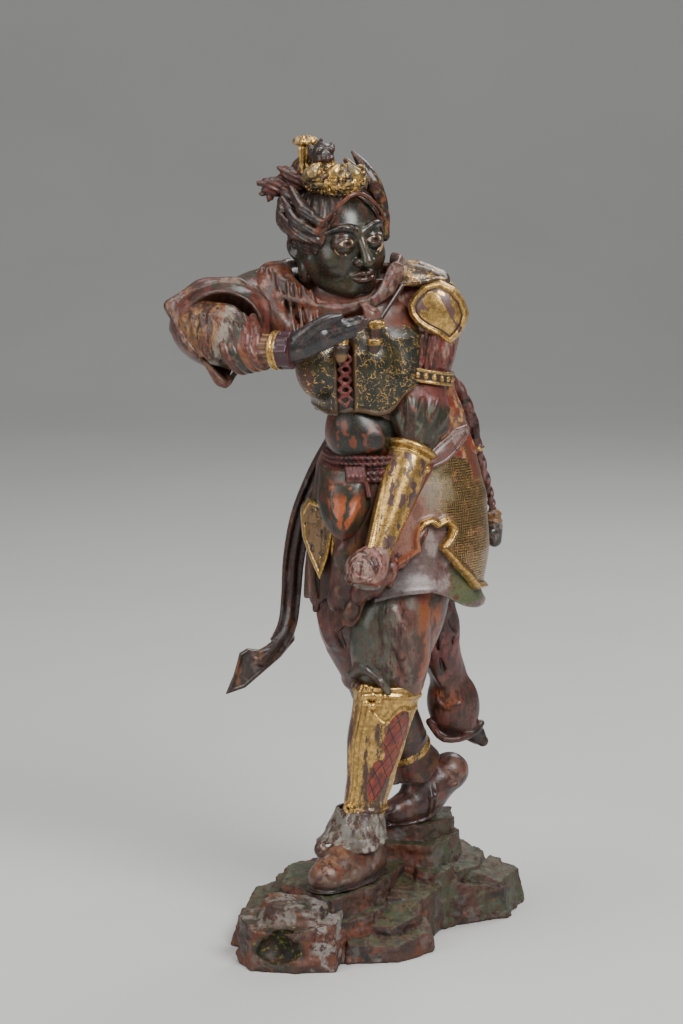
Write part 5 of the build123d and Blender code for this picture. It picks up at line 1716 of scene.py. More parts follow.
    def vambrace(q):
        d = np.full(len(q), FAR)
        for k, radius in enumerate((20.5, 19, 17.5, 16)):
            d = smooth_min(d, ring(q, elbow + run * (4 + 8 * k), radius, 5.0, twist), 0.8)
        flat = local(q, elbow, rows)
        turn = np.arctan2(flat[:, 1], flat[:, 0])
        reach = np.hypot(flat[:, 0], flat[:, 1])
        tube = reach - np.interp(flat[:, 2], (18, 36, 64), (17.5, 15.5, 13.5)) - 0.9 * np.cos(turn * 11)
        tube = smooth_max(tube, np.maximum(20 - flat[:, 2], flat[:, 2] - 60), 1)
        d = smooth_min(d, tube, 1)
        cuff = reach - 17.5 - 1.2 * np.cos(turn * 8)
        cuff = smooth_max(cuff, np.maximum(50 - flat[:, 2], flat[:, 2] - 66), 2)
        d = smooth_min(d, cuff, 1)
        for place, radius, thick in ((47, 16.5, 2.6), (52, 17, 1.8)):
            d = smooth_min(d, ring(q, elbow + run * place, radius, thick, rows), 1)
        return smooth_max(d, flat[:, 2] - 66, 1)

    def vambrace_paint(q, n):
        place = local(q, elbow, rows)[:, 2]
        gold = step(np.abs(place - 48.5), 5, 4)
        cuff = step(place, 52, 54)
        across = local(q, elbow, twist)[:, 2]
        bands = step(across, 36, 33)
        green = bands * step(np.abs(across - 12), 5, 4)
        orange = bands * step(np.abs(across - 20), 4.5, 3.5)
        stripes = 0.5 + 0.5 * np.cos(np.arctan2(*local(q, elbow, rows)[:, :2].T) * 22)
        return blend(coat(q, 70, 44, 34), (rgb(150, 108, 64), stripes * (1 - bands)),
                     (rgb(90, 46, 38), bands), (rgb(50, 50, 40), green), (rgb(128, 74, 44), orange),
                     (rgb(134, 96, 76), 0.7 * bands * patch(q, 6, 0.3, 421)), (rgb(66, 34, 42), cuff),
                     (rgb(160, 120, 72), gold)), gold * 0.8 + 0.12, q

    piece("right_vambrace", "figure", vambrace, at_f(-25.8, -50.5, -36), at_f(68.2, 27.5, 32), FINE,
          gilt_material, vambrace_paint, ["right_forearm"])


def build_right_hand(material):
    """The flat open hand held across the chest, its straight fingers side by side."""
    at = Place("right_hand")

    def hand(q):
        d = limb(q, [at(-34.1, -1.4, -10.2), at(-18.1, -2.4, -4.2), at(-0.1, -3.4, 3.8)], [12.5, 14, 11.5],
                 6, (0.1, -1, 0), 0.7)
        knuckles = [at(-0.1, -3.4, 11.8), at(2.9, -4.4, 6.8), at(3.9, -4.4, 1.3), at(-0.1, -3.4, -5.2)]
        tips = [at(38.9, -2.4, 22.8), at(44.9, -2.4, 19.8), at(41.9, -2.4, 14.8), at(30.9, -2.4, 6.8)]
        for k, (a, b) in enumerate(zip(knuckles, tips)):
            joint = (a + b) / 2 + (0, -1.4, 0.6)
            thick = 4.6 - 0.3 * abs(k - 1)
            finger = limb(q, [a + (-8, 2, 0), a, joint, b], [thick, thick + 0.4, thick - 0.4, thick - 2.0],
                          10)
            finger = smooth_min(finger, ball(q, joint, thick + 0.1), 1.5)
            d = smooth_min(d, finger, 1.4)
            nail = ball(q, b + (-4, -2.6, 0.8), (3.4, 1.4, 1.9))
            d = smooth_min(d, nail, 0.5)
        thumb = limb(q, [at(-22.1, -3.4, 1.8), at(-8.1, -6.4, 13.8), at(5.9, -6.4, 21.8),
                         at(17.9, -5.4, 24.8)], [8, 6.4, 5.2, 3.0], 10)
        d = smooth_min(d, thumb, 3)
        crease = [at(-22.1, -12.4, -4.2), at(-10.1, -13.4, 3.8), at(-0.1, -12.4, 11.8)]
        d = fold(q, d, crease, 1.4, -1.2)
        rows = axes((1, 0, 0.12))
        return smooth_min(d, ring(q, at(-33.1, -1.4, -10.2), 13.6, 1.6, rows), 1)

    def hand_paint(q, n):
        edge = step(q[:, 0], at.x(-29.1), at.x(-31.1))
        return blend(coat(q, 40, 39, 41), blotch(q, (64, 56, 54), (9, 9, 6), 0.25, 431, 0.8),
                     blotch(q, (96, 78, 66), 4, 0.1, 432, 0.7), (rgb(92, 46, 56), edge)), 0.02, q

    carved("right_hand", "right_hand", hand, (4, 6, 6), (6, 8, 8), FINE, material, hand_paint)


ARM_BEADS = 20


def build_left_shoulder(cloth_material, gilt_material, pattern_material):
    """The shoulder guard with its point, the lappet above, the folds and the armband below."""
    at = Place("left_shoulder_guard")
    corners = front(at, (-32.9, 12), (-30.9, 2), (-24.9, -6), (-14.9, -13), (-2.9, -19), (9.1, -29),
                    (19.1, -19), (25.1, -10), (28.1, 2), (23.1, 17), (13.1, 29), (-0.9, 36), (-16.9, 32),
                    (-26.9, 22))

    def guard(q):
        edge = outline(q, corners)
        cap = smooth_max(shell(ball(q, at(-4.9, 7.9, 4), (36, 35, 37)), 6), edge + 1, 2)
        cap = smooth_max(cap, between(q[:, [0, 2, 1]], at.y(-8.1), at.y(38)), 1)
        plate = smooth_max(shell(ball(q, at(-6.9, 19.9, 4), (43, 47, 50)), 5), edge, 2)
        plate = smooth_max(plate, q[:, 1] - at.y(1.9), 1)
        plate = plate - 2.2 * np.exp(-((edge + 3.2) / 2.0) ** 2) + 1.0 * np.exp(-((edge + 6.8) / 1.2) ** 2)
        return smooth_min(plate, cap, 1)

    def guard_paint(q, n):
        edge = outline(q, corners)
        rim = step(np.abs(edge + 3.0), 3.4, 2.4)
        groove = step(np.abs(edge + 7.2), 1.3, 0.7)
        streak = fbm(q * (1, 1, 0.5) + q[:, 2:] * (0.5, 0, 0), 13, 4, 441)
        worn = step(streak, 0.2, 0.28) * (1 - 0.7 * rim)
        base = blend(coat(q, 150, 122, 76), (rgb(96, 68, 60), worn), (rgb(70, 46, 34), groove))
        lay = sheet(q[:, 0], q[:, 2], 0)
        return base, (0.8 - 0.1 * rim) * (1 - worn) * (1 - 0.8 * groove), lay

    carved("left_shoulder_guard", "figure", guard, (6, 6, 2), (4, 10, 10), FINE, pattern_material,
           guard_paint)

    at_l = Place("left_shoulder_lappet")

    def lappet(q):
        d = limb(q, [at_l(-25.2, -10.6, 5.9), at_l(-11.2, -12.6, 3.9), at_l(4.8, -10.6, 0.9),
                     at_l(16.8, -0.6, -3.1)], [13, 13, 11, 7], 8, (0.2, -1, 0.8), 0.55)
        d = smooth_min(d, limb(q, [at_l(-29.2, 11.4, 3.9), at_l(-7.2, 13.4, 1.9), at_l(14.8, 13.4, -4.1)],
                               [13, 14, 11], 6), 6)
        rim = limb(q, [at_l(-23.2, -23.6, -4.1), at_l(-7.2, -24.6, -2.1), at_l(8.8, -19.6, -0.1),
                       at_l(20.8, -4.6, -2.1)], [2.4] * 4, 8)
        return smooth_min(d, rim, 1)

    def lappet_paint(q, n):
        base = coat(q, 60, 46, 34)
        lay = sheet(q[:, 0], q[:, 2], 1)
        return blend(base, blotch(q, (150, 112, 62), 8, 0.4, 451)), 0.35, lay

    carved("left_shoulder_lappet", "figure", lappet, (8, 14, 8), (6, 18, 14), FINE, gilt_material,
           lappet_paint)

    at_u = Place("left_upper_arm")
    band_middle = at_u(-11.3, -9.7, -18)
    band_rows = axes((0.16, 0.06, 1))

    def upper(q):
        d = limb(q, [at_u(-39.3, 7.3, 55), at_u(-7.3, 9.3, 51), at_u(-5.3, -0.7, 15), at_u(-9.3, -8.7, -15),
                     at_u(-13.3, -12.7, -33)], [22, 29, 27, 22, 21], 10)
        tops = [at_u(-29.3, -16.7, 33), at_u(-7.3, -30.7, 25), at_u(18.7, -12.7, 27)]
        feet = [at_u(-29.3, -26.7, -5), at_u(-11.3, -34.7, -13), at_u(10.7, -18.7, -9)]
        d = folds(q, d, tops, feet, 7, 3.2, 5.2)
        low_sleeve = ball(q, at_u(-17.3, -18.7, -55), (30, 30, 36))
        low_sleeve = smooth_min(low_sleeve, limb(q, [at_u(-11.3, -10.7, -23), at_u(-19.3, -22.7, -83)],
                                                 [20, 19], 2), 6)
        gather = at_u(-35.3, -40.7, -87)
        for dx, dz, dy in ((-8, 42, 14), (6, 56, -4), (22, 60, -8), (38, 54, -2), (48, 40, 14), (50, 22, 28)):
            low_sleeve = fold(q, low_sleeve, [gather + (dx, dy, dz),
                                              gather + (dx * 0.6 + 4, -6 + dy * 0.4, dz * 0.5),
                                              gather + (4, 0, 0)], 4.0, 4.4)
        d = smooth_min(d, low_sleeve, 3)
        flat = local(q, band_middle, band_rows)
        reach = np.hypot(flat[:, 0], flat[:, 1])
        band = smooth_max(np.abs(reach - 23) - 4.5, np.abs(flat[:, 2]) - 5.5, 1)
        for height in (-5.5, 5.5):
            band = smooth_min(band, np.hypot(reach - 27, flat[:, 2] - height) - 1.7, 0.6)
        for k in range(ARM_BEADS):
            turn = 2 * math.pi * k / ARM_BEADS
            bead = band_middle + band_rows.T @ (27.4 * math.cos(turn), 27.4 * math.sin(turn), 0)
            band = smooth_min(band, ball(q, bead, (2.4, 2.4, 3.0)), 0.6)
        return smooth_min(d, band, 0.8)

    def upper_paint(q, n):
        x, z = q[:, 0] - at_u.x(-55.3), q[:, 2] - at_u.z(-595)
        tilt = z + (x - 46) * 0.28
        flat = local(q, band_middle, band_rows)
        reach = np.hypot(flat[:, 0], flat[:, 1])
        band = step(np.abs(flat[:, 2]), 8.0, 7.2) * step(reach, 25.4, 26.4)
        beads = band * step(reach, 27.6, 28.4)
        above, below = step(tilt, 584, 590), step(tilt, 560, 548)
        return blend(coat(q, 112, 58, 52), (rgb(166, 144, 130),
                                            0.8 * above * patch(q, (5, 5, 10), 0.36, 461)),
                     (CRIMSON, 0.8 * above * patch(q, (5, 5, 10), 0.3, 462)), (rgb(46, 48, 36), below),
                     (rgb(108, 112, 90), 0.8 * below * patch(q, (8, 8, 16), 0.25, 463)),
                     (rgb(140, 84, 58), 0.7 * below * patch(q, (7, 7, 12), 0.16, 464)),
                     (rgb(46, 36, 28), band), (rgb(160, 124, 72), beads)), 0.04 + 0.66 * beads, q

    low, high = box("left_upper_arm")
    piece("left_upper_sleeve", "figure", upper, (at_u.x(-55.3), low[1] - 20, at_u.z(-99)),
          (high[0] + 10, high[1] + 8, high[2] + 18), MEDIUM, cloth_material, upper_paint, ["left_upper_arm"])


def build_left_forearm(cloth_material, gilt_material):
    """The gilt vambrace with its rim and raised strip, the cloth beside it and the brocade-wrapped fist."""
    at = Place("left_forearm")
    top, foot = at(10.8, 14, 30.9), at(-25.2, -34, -69.1)
    run = unit(foot - top)
    rows = axes(run, (1, 0, 0))

    def vambrace(q):
        flat = local(q, top, rows)
        reach = np.hypot(flat[:, 0], flat[:, 1])
        tube = reach - np.interp(flat[:, 2], (0, 30, 80, 118), (22, 22, 17, 13))
        tube = smooth_max(tube, np.maximum(4 - flat[:, 2], flat[:, 2] - 118), 1.5)
        d = smooth_min(tube, ring(q, top + run * 5, 22.5, 3.6, rows), 1)
        d = smooth_min(d, ring(q, top + run * 12, 22.0, 1.6, rows), 1)
        for k in range(5):
            turn = math.radians(-150 + 30 * k)
            petal = top + run * (14 + 5 * math.sin(math.radians(45 * k)))
            petal = petal + rows.T @ (22 * math.cos(turn), 22 * math.sin(turn), 0)
            d = smooth_min(d, ball(q, petal, 4.2), 1)
        strip = limb(q, [top + run * 20 + (-18, -12, -2), top + run * 60 + (-14, -12, 0),
                         foot + (-8, -11, 2)], [4.0, 3.6, 3.2], 8)
        d = smooth_min(d, strip, 1)
        d = smooth_min(d, ball(q, top + run * 24 + (20, -6, 0), 4.6), 1)
        cloth = limb(q, [top + run * 20 + (24, 2, 0), top + run * 60 + (16, 2, 0), foot + (10, 8, 4)],
                     [4, 5, 5], 8)
        return smooth_min(d, cloth, 1)

    def vambrace_paint(q, n):
        flat = local(q, top, rows)
        rim = step(np.abs(flat[:, 2] - 7), 8, 6.5)
        strip_line = np.array([top + run * 20 + (-18, -12, -2), top + run * 60 + (-14, -12, 0),
                               foot + (-8, -11, 2)])
        strip = step(along(q, strip_line)[0], 6.2, 4.8)
        cloth_line = np.array([top + run * 20 + (24, 2, 0), top + run * 60 + (16, 2, 0), foot + (10, 8, 4)])
        cloth = step(along(q, cloth_line)[0], 7, 5.5)
        base = coat(q, 84, 60, 58)
        gold = np.maximum(rim, strip)
        base = blend(base, blotch(q, (120, 96, 70), 9, 0.4, 471, 0.8), (rgb(180, 142, 86), gold),
                     (rgb(112, 40, 36), cloth), (rgb(60, 68, 74),
                                                 step(np.linalg.norm(q - (top + run * 24 + (20, -6, 0)),
                                                                     axis=1), 6, 5)))
        bare = patch(q, (5, 5, 14), 0.35, 472) * (1 - gold)
        return base, (0.6 + 0.36 * gold - 0.36 * bare) * (1 - cloth), q

    carved("left_forearm", "figure", vambrace, (10, 18, 10), (6, 6, 4), FINE, gilt_material, vambrace_paint,
           name="left_vambrace")

    at_h = Place("left_hand")

    def fist(q):
        centre = at_h(4.8, 3, -2.3)
        d = ball(q, centre, (21, 20, 19))
        d = smooth_min(d, limb(q, [at_h(14.8, 9, 9.7), at_h(4.8, 1, -0.3)], [13, 15], 3), 6)
        rows_f = axes((-0.3, -0.5, -1))
        d = smooth_max(d, -ball(q, centre + (-6, -8, -26), (15, 14, 12)), 3)
        d = smooth_min(d, ring(q, centre + (-4, -4, -13), 15, 3.2, rows_f), 1.5)
        face = local(q, centre, axes((-0.25, -1, 0.15)))
        swirl = np.hypot(face[:, 0], face[:, 1]) * 1.5 - np.arctan2(face[:, 1], face[:, 0])
        facing = step(face[:, 2], 2, 8) * step(q[:, 2], centre[2] - 11, centre[2] - 8)
        return d + 0.8 * facing * step(np.cos(swirl), 0.35, 0.85) + 0.4 * fbm(q, 6, 2, 19)

    def fist_paint(q, n):
        centre = at_h(4.8, 3, -2.3)
        rim = step(q[:, 2], centre[2] - 10, centre[2] - 13)
        base = coat(q, 150, 108, 98)
        lay = sheet(q[:, 0], q[:, 2], 1 - rim)
        return blend(base, blotch(q, (164, 144, 128), 7, 0.3, 481, 0.8), (rgb(134, 60, 42), rim),
                     (rgb(140, 130, 116), step(q[:, 2], centre[2] - 15, centre[2] - 17))), 0.1, lay

    carved("left_hand", "left_hand", fist, (4, 4, 6), (8, 8, 2), FINE, cloth_material, fist_paint)


# ---------------------------------------------------------------- head
def head_frame():
    """The middle of the head and its rows: to its left, forward and up."""
    at = Place("face_block")
    up = unit((-0.09, -0.04, 1))
    turn = math.radians(28)
    forward = unit(np.cross((math.cos(turn), math.sin(turn), 0), up))
    return at(-1.2, 9.8, 22.1), np.array((np.cross(up, forward), forward, up))


EYE_PLACE = (15.5, 36.0, 6.0)
EYE_R = 11.0


def eye_opening(u, w):
    """Almond-shaped distance round one eye: below 0 inside the opening."""
    x = u - EYE_PLACE[0]
    upper = np.hypot(x, w - EYE_PLACE[2] + 8.6) - 12.6
    lower = np.hypot(x, w - EYE_PLACE[2] - 10.6) - 13.2
    return np.maximum(upper, lower)


def hairline(u):
    """Height of the hair's edge over the forehead, falling to the temples."""
    return 50 - 0.040 * u ** 2


def face_field(p):
    """A calm, regular face: brow, lidded eyes, straight nose, closed lips and a round chin."""
    both = mirrored(p)
    d = ball(p, (0, -4, 12), (42, 49, 48))
    d = smooth_min(d, ball(p, (0, 10, -10), (34, 33, 38)), 10)
    d = smooth_min(d, ball(p, (0, 33, -37), (12, 10.5, 9.5)), 12)
    d = smooth_min(d, ball(both, (20, 24, -12), (14, 14, 15)), 9)
    d = smooth_min(d, limb(both, [(34, 4, -12), (26, 12, -32), (8, 30, -41)], [9, 9, 8], 6), 9)
    d = smooth_min(d, ball(p, (0, 34, -26), (15, 13, 12)), 7)
    d = smooth_max(d, -ball(both, (15, 50, 5), (11.5, 8.5, 8)), 6)
    lid = smooth_max(ball(both, EYE_PLACE, EYE_R + 1.5), -eye_opening(both[:, 0], both[:, 2]), 0.6)
    lid = np.maximum(lid, 34 - both[:, 1])
    d = smooth_max(d, -ball(both, EYE_PLACE, EYE_R + 0.3), 0.4)
    d = smooth_min(d, lid, 1.6)
    d = fold(both, d, [(6, 46, 9), (14, 49.5, 15), (25, 43, 11)], 1.5, -1.4)
    brow = limb(both, [(3, 45.5, 15), (13, 46, 20.5), (22, 41.5, 21), (31, 31, 17)], [3.2, 3.6, 3.2, 1.6], 8)
    d = smooth_min(d, brow, 5)
    nose = limb(p, [(0, 43, 15), (0, 49, 2), (0, 55, -9), (0, 56, -13)], [4.4, 4.4, 5.4, 6.0], 8)
    nose = smooth_min(nose, ball(both, (7.0, 48.5, -14), (4.6, 5.8, 4.4)), 4)
    d = smooth_min(d, nose, 4)
    d = smooth_max(d, -ball(both, (4.4, 53, -19.5), (2.2, 3.2, 2.4)), 1.2)
    upper = limb(both, [(0, 49.4, -25.6), (4.5, 49.2, -24.6), (13, 42, -27.4)], [2.7, 2.8, 1.2], 8)
    lower = limb(both, [(0, 48.4, -31.2), (6, 47, -30.8), (11.5, 42.5, -28.6)], [3.2, 3.0, 1.2], 8)
    d = smooth_min(d, smooth_min(upper, lower, 0.7), 2.2)
    d = fold(both, d, [(0, 51, -28.2), (7, 49, -27.8), (14.5, 42.5, -27.6)], 1.0, -1.2, fade=False)
    d = fold(p, d, [(0, 50.5, -18), (0, 50, -22)], 1.6, -1.0)
    return fold(both, d, [(10, 47, -14), (15, 43, -20), (17, 39, -27)], 2.2, -1.0)


def ear_field(p):
    """A long ear with a rolled edge and a pierced lobe, the same on both sides."""
    m = mirrored(p)
    rows = axes((1, 0.35, -0.05), (0, 1, 0))
    d = ball(m, (42, -6, -2), (10.5, 15, 4.2), axes((1, 0.35, 0), (0, 1, 0)))
    d = smooth_min(d, ring(m, (44.5, -6, 3), 10.5, 2.6, rows), 1.5)
    d = smooth_max(d, -ball(m, (48, -4.5, 2), (5, 6.5, 9)), 2)
    lobe = ball(m, (42.5, -2, -22), (4, 6.6, 12))
    lobe = smooth_max(lobe, -(np.hypot(m[:, 1] + 2, m[:, 2] + 27) - 2.0), 1)
    return smooth_min(d, lobe, 3)


def build_head(skin, hair, crystal):
    """Face, ears and neck, the combed hair, and the crystal eyes behind their lids."""
    centre, rows = head_frame()

    def face(q):
        p = local(q, centre, rows)
        d = smooth_min(face_field(p), ear_field(p), 2)
        neck = limb(p, [(0, -10, -20), (-2, -8, -52), (-3, -6, -64)], [27, 24, 24], 4)
        return smooth_min(d, neck, 9)

    def face_paint(q, n):
        p = local(q, centre, rows)
        m = np.abs(p[:, 0])
        lips = step(np.abs(p[:, 2] + 28), 6.5, 4.5) * step(m, 13.5, 11) * step(p[:, 1], 42, 46)
        brow = step(np.abs(p[:, 2] - 19.5 - 0.04 * (m - 16)), 4.4, 2.6) * step(m, 32, 28) * step(m, 3, 6)
        brow = brow * step(p[:, 1], 28, 34)
        lid = step(np.abs(eye_opening(m, p[:, 2])), 2.0, 1.0) * step(p[:, 1], 38, 42)
        return blend(coat(q, 46, 46, 37), (rgb(70, 66, 48), 0.8 * patch(q, (16, 16, 18), 0.4, 501, 0.25)),
                     (rgb(94, 52, 36), 0.6 * patch(q, (9, 9, 14), 0.16, 502, 0.2)),
                     (rgb(74, 46, 38), 0.8 * lips), (rgb(26, 24, 22), brow * 0.8),
                     (rgb(84, 44, 34), lid * 0.7)), 0.02, q

    piece("face_carved", "head", face, centre - (72, 72, 68), centre + (72, 72, 76), FINE, skin, face_paint,
          ["face_block", "head_back_block"])

    def hair_mass(q):
        p = local(q, centre, rows)
        d = ball(p, (0, -6, 13), (46, 52, 52))
        line = np.where(p[:, 1] > 4, hairline(p[:, 0]), -26 + 0 * p[:, 0])
        line = line * step(p[:, 1], -8, 10) + -26 * (1 - step(p[:, 1], -8, 10))
        knot = p - np.array((0, -16, 66))
        turn = np.arctan2(knot[:, 0], knot[:, 1])
        combed = np.cos(turn * 30 + 0.5 * np.sin(p[:, 2] * 0.12)) * 0.9 + 0.5 * np.cos(turn * 17)
        d = d - combed
        d = smooth_max(d, line - p[:, 2], 2.5)
        over = [(-44, 12, 28), (-48, -4, 22), (-50, -18, 30), (-44, -26, 48)]
        d = smooth_min(d, limb(p, over, [6, 8, 8, 6], 8), 5)
        for a, b, c in (((-38, 25, 10), (-48, 6, 17), (-55, -12, 36)),
                        ((-38, 26, 18), (-48, 6, 30), (-52, -12, 52)),
                        ((-34, 30, 27), (-43, 12, 42), (-44, -8, 62))):
            d = smooth_min(d, limb(p, [a, b, c], [4, 7, 2.4], 8), 2.2)
            d = fold(p, d, [np.array(a) + (-5, 1, 1), np.array(b) + (-7, 2, 2), np.array(c) + (-3, 0, 0)],
                     1.5, -1.4)
        d = d - 0.6 * np.cos(p[:, 1] * 1.1 + p[:, 2] * 1.55) * step(-p[:, 0], 30, 40)
        band = limb(p, [(-38, 27, 20), (-24, 38, 38), (0, 44, 53), (24, 38, 38), (38, 27, 20)], [2.2] * 5, 14)
        d = smooth_min(d, band, 2.5)
        return smooth_max(d, -ball(p, (0, 8, -30), (38, 40, 44)), 2)

    def hair_paint(q, n):
        p = local(q, centre, rows)
        band_line = curve([(-38, 27, 20), (-24, 38, 38), (0, 44, 53), (24, 38, 38), (38, 27, 20)], 14)
        edge = step(along(p, band_line)[0], 5.0, 3.4)
        return blend(coat(q, 50, 42, 38), blotch(q, (92, 50, 36), (7, 7, 14), 0.25, 511, 0.8),
                     blotch(q, (104, 84, 58), (5, 5, 14), 0.16, 512, 0.7),
                     (rgb(112, 56, 36), 0.8 * edge)), 0.08 * (1 - edge), q

    piece("hair_combed", "head", hair_mass, centre - (84, 78, 40), centre + (76, 78, 80), MEDIUM, hair,
          hair_paint, ["crown_band"])

    def eyes(q):
        p = local(q, centre, rows)
        m = mirrored(p)
        return ball(m, EYE_PLACE, EYE_R)

    def eye_paint(q, n):
        p = local(q, centre, rows)
        reach = np.hypot(np.abs(p[:, 0]) - EYE_PLACE[0], p[:, 2] - EYE_PLACE[2] + 0.6)
        reach = np.where(p[:, 1] > EYE_PLACE[1], reach, 20)
        return blend(coat(q, 216, 208, 188), (rgb(150, 96, 74), step(reach, 8, 11)),
                     (rgb(92, 56, 30), step(reach, 5.4, 4.9)),
                     (rgb(10, 8, 8), step(reach, 2.9, 2.5))), 0.0, q

    piece("crystal_eyes_polished", "head", eyes, centre - (50, 60, 14), centre + (60, 40, 26), FINE * 0.7,
          crystal, eye_paint, ["crystal_eyes"])


def build_crown(hair, gilt, red):
    """Topknot, granular crown, gold scrolls and leaves, the locks and the flower on its stem."""
    centre, rows = head_frame()
    at = Place("topknot")

    def knot(q):
        p = local(q, centre, rows)
        d = limb(p, [(0, -26, 50), (-2, -20, 66), (-4, -16, 80)], [20, 18, 10], 6)
        d = smooth_min(d, ball(q, at(-17.2, 1.1, 4.9), (14, 13, 14)), 5)
        turn = np.arctan2(p[:, 0], p[:, 1] + 20)
        return d + 0.9 * np.cos(turn * 14 + p[:, 2] * 0.2)

    def dark_paint(q, n):
        return blend(coat(q, 50, 38, 32), blotch(q, (120, 62, 42), 7, 0.3, 521),
                     blotch(q, (132, 104, 62), 6, 0.25, 522)), 0.12, q

    carved("topknot", "head", knot, (20, 12, 12), 14, MEDIUM, hair, dark_paint)

    at_s = Place("crest_seat")

    def cap(q):
        d = ball(q, at_s(16.8, -8.7, -8.5), (24, 17, 14))
        d = smooth_min(d, ball(q, at_s(-5.2, -4.7, -6.5), (15, 12, 12)), 5)
        beads = np.abs(noise(q, 3.6, 31))
        d = d - 3.0 * step(beads, 0.02, 0.34) + 1.0 * noise(q, 2.0, 32)
        for x, z, r in ((-15.2, -1.5, 4.6), (-9.2, 3.5, 3.8), (34.8, 2.5, 4.0)):
            d = smooth_min(d, ring(q, at_s(x, -14.7, z), r, 1.8, axes((0.1, -1, 0.1))), 1)
        for x, tip in ((-19.2, -5.2), (2.8, 14.8), (36.8, 22.8)):
            lobe = [at_s(x, -12.7, -7.5), at_s((x + tip) / 2, -22.7, 0.5), at_s(tip, -20.7, 8.5)]
            d = smooth_min(d, limb(q, lobe, [2.4, 6.0, 2.0], 8, (0.1, -1, 0.5), 0.6), 1)
        seat = limb(q, [at_s(0.8, -0.7, -1.5), at_s(-0.2, -0.7, 11.5)], [12, 10], 2)
        return smooth_min(d, seat, 3)

    def cap_paint(q, n):
        worn = patch(q, 6, 0.34, 531)
        return blend(coat(q, 112, 98, 68), (rgb(72, 50, 38), 0.8 * worn)), 0.52 - 0.3 * worn, q

    piece("crown_granular", "head", cap, at_s(-33.2, -38.7, -39.5), at_s(50.8, 21.3, 24.5), FINE, gilt,
          cap_paint, ["crest_seat"])

    at_r = Place("hair_tuft_right")

    def tuft(q):
        d = limb(q, [at_r(27.9, 13.9, 15.5), at_r(11.9, 11.9, 23.5), at_r(-0.1, 9.9, 29.5)], [9, 9, 7], 6)
        for tip in (at_r(-22.1, 7.9, 27.5), at_r(-19.1, 7.9, 17.5), at_r(-12.1, 9.9, 11.5)):
            lobe = limb(q, [at_r(5.9, 9.9, 25.5), (at_r(-2.1, 9.9, 27.5) + tip) / 2, tip], [7, 6.4, 2.6], 8)
            d = smooth_min(d, lobe, 1.4)
        d = smooth_min(d, limb(q, [at_r(19.9, 3.9, 27.5), at_r(7.9, 3.9, 37.5), at_r(-1.1, 5.9, 42.5)],
                               [8, 7, 3], 6), 2)
        d = smooth_min(d, limb(q, [at_r(27.9, -6.1, -4.5), at_r(13.9, -4.1, 7.5), at_r(3.9, 1.9, 21.5)],
                               [8, 8, 5], 6), 2)
        return d + 0.6 * np.cos(q[:, 2] * 1.1 + q[:, 0] * 0.5)

    def red_paint(q, n):
        return blend(coat(q, 84, 38, 32), blotch(q, (48, 36, 33), 7, 0.4, 541),
                     blotch(q, (128, 66, 44), 5, 0.2, 542, 0.7)), 0.03, q

    piece("hair_tuft_right_carved", "head", tuft, at_r(-32.1, -20.1, -18.5), at_r(39.9, 29.9, 67.5), FINE,
          red, red_paint, ["hair_tuft_right"])

    at_f = Place("hair_tuft_left")

    def flame(q):
        main = limb(q, [at_f(12.7, -16.6, -27.2), at_f(9.7, -20.6, -7.2), at_f(2.7, -24.6, 12.8),
                        at_f(-7.3, -22.6, 28.8), at_f(-17.3, -18.6, 41.8)], [7, 8, 8, 6, 1.6], 10)
        second = limb(q, [at_f(0.7, -10.6, -11.2), at_f(-5.3, -12.6, 10.8), at_f(-23.3, -12.6, 32.8)],
                      [11, 9, 3], 8)
        d = smooth_min(main, second, 2)
        starts = [at_f(14.7, -30.6, -19.2), at_f(2.7, -34.5, -11.2), at_f(-7.3, -30.6, -9.2)]
        ends = [at_f(0.7, -26.6, 26.8), at_f(-11.3, -30.6, 30.8), at_f(-21.3, -26.6, 26.8)]
        d = folds(q, d, starts, ends, 5, 1.8, 2.0)
        return smooth_min(d, limb(q, [at_f(14.7, -22.6, -41.2), at_f(12.7, -20.6, -23.2)], [5, 7], 2), 3)

    piece("hair_tuft_left_carved", "head", flame, at_f(-33.3, -46.5, -47.2), at_f(28.7, 15.4, 54.8), FINE,
          hair, dark_paint, ["hair_tuft_left"])

    at_g = Place("gilt_flower")

    def flower(q):
        foot = at_g(2, -6, -17.4)
        d = limb(q, [foot, foot + (-1, 0, 12), foot + (0, 0, 26)], [5.4, 4.2, 6.0], 6)
        d = smooth_min(d, ring(q, foot + (1, -3, 4), 5.2, 2.4, axes((0, -1, 0.2))), 1)
        around = np.arctan2(q[:, 1] - foot[1], q[:, 0] - foot[0])
        d = d - 0.7 * np.cos(around * 7)
        top = foot + (1, 0, 33)
        dome = ball(q, top, (12, 12, 6))
        turn = np.arctan2(q[:, 1] - top[1], q[:, 0] - top[0])
        dome = smooth_max(dome, top[2] - 3 - q[:, 2], 1) - 0.8 * np.cos(turn * 10)
        d = smooth_min(d, dome, 1.5)
        return smooth_min(d, limb(q, [foot + (0, 2, 2), at_g(3, -2, -19.4)], [4, 5], 2), 2)

    def flower_paint(q, n):
        return blend(coat(q, 158, 134, 96), blotch(q, (70, 48, 38), 6, 0.25, 551, 0.8)), 0.55, q

    carved("gilt_flower", "head", flower, (6, 8, 6), (10, 8, 16), FINE, gilt, flower_paint)


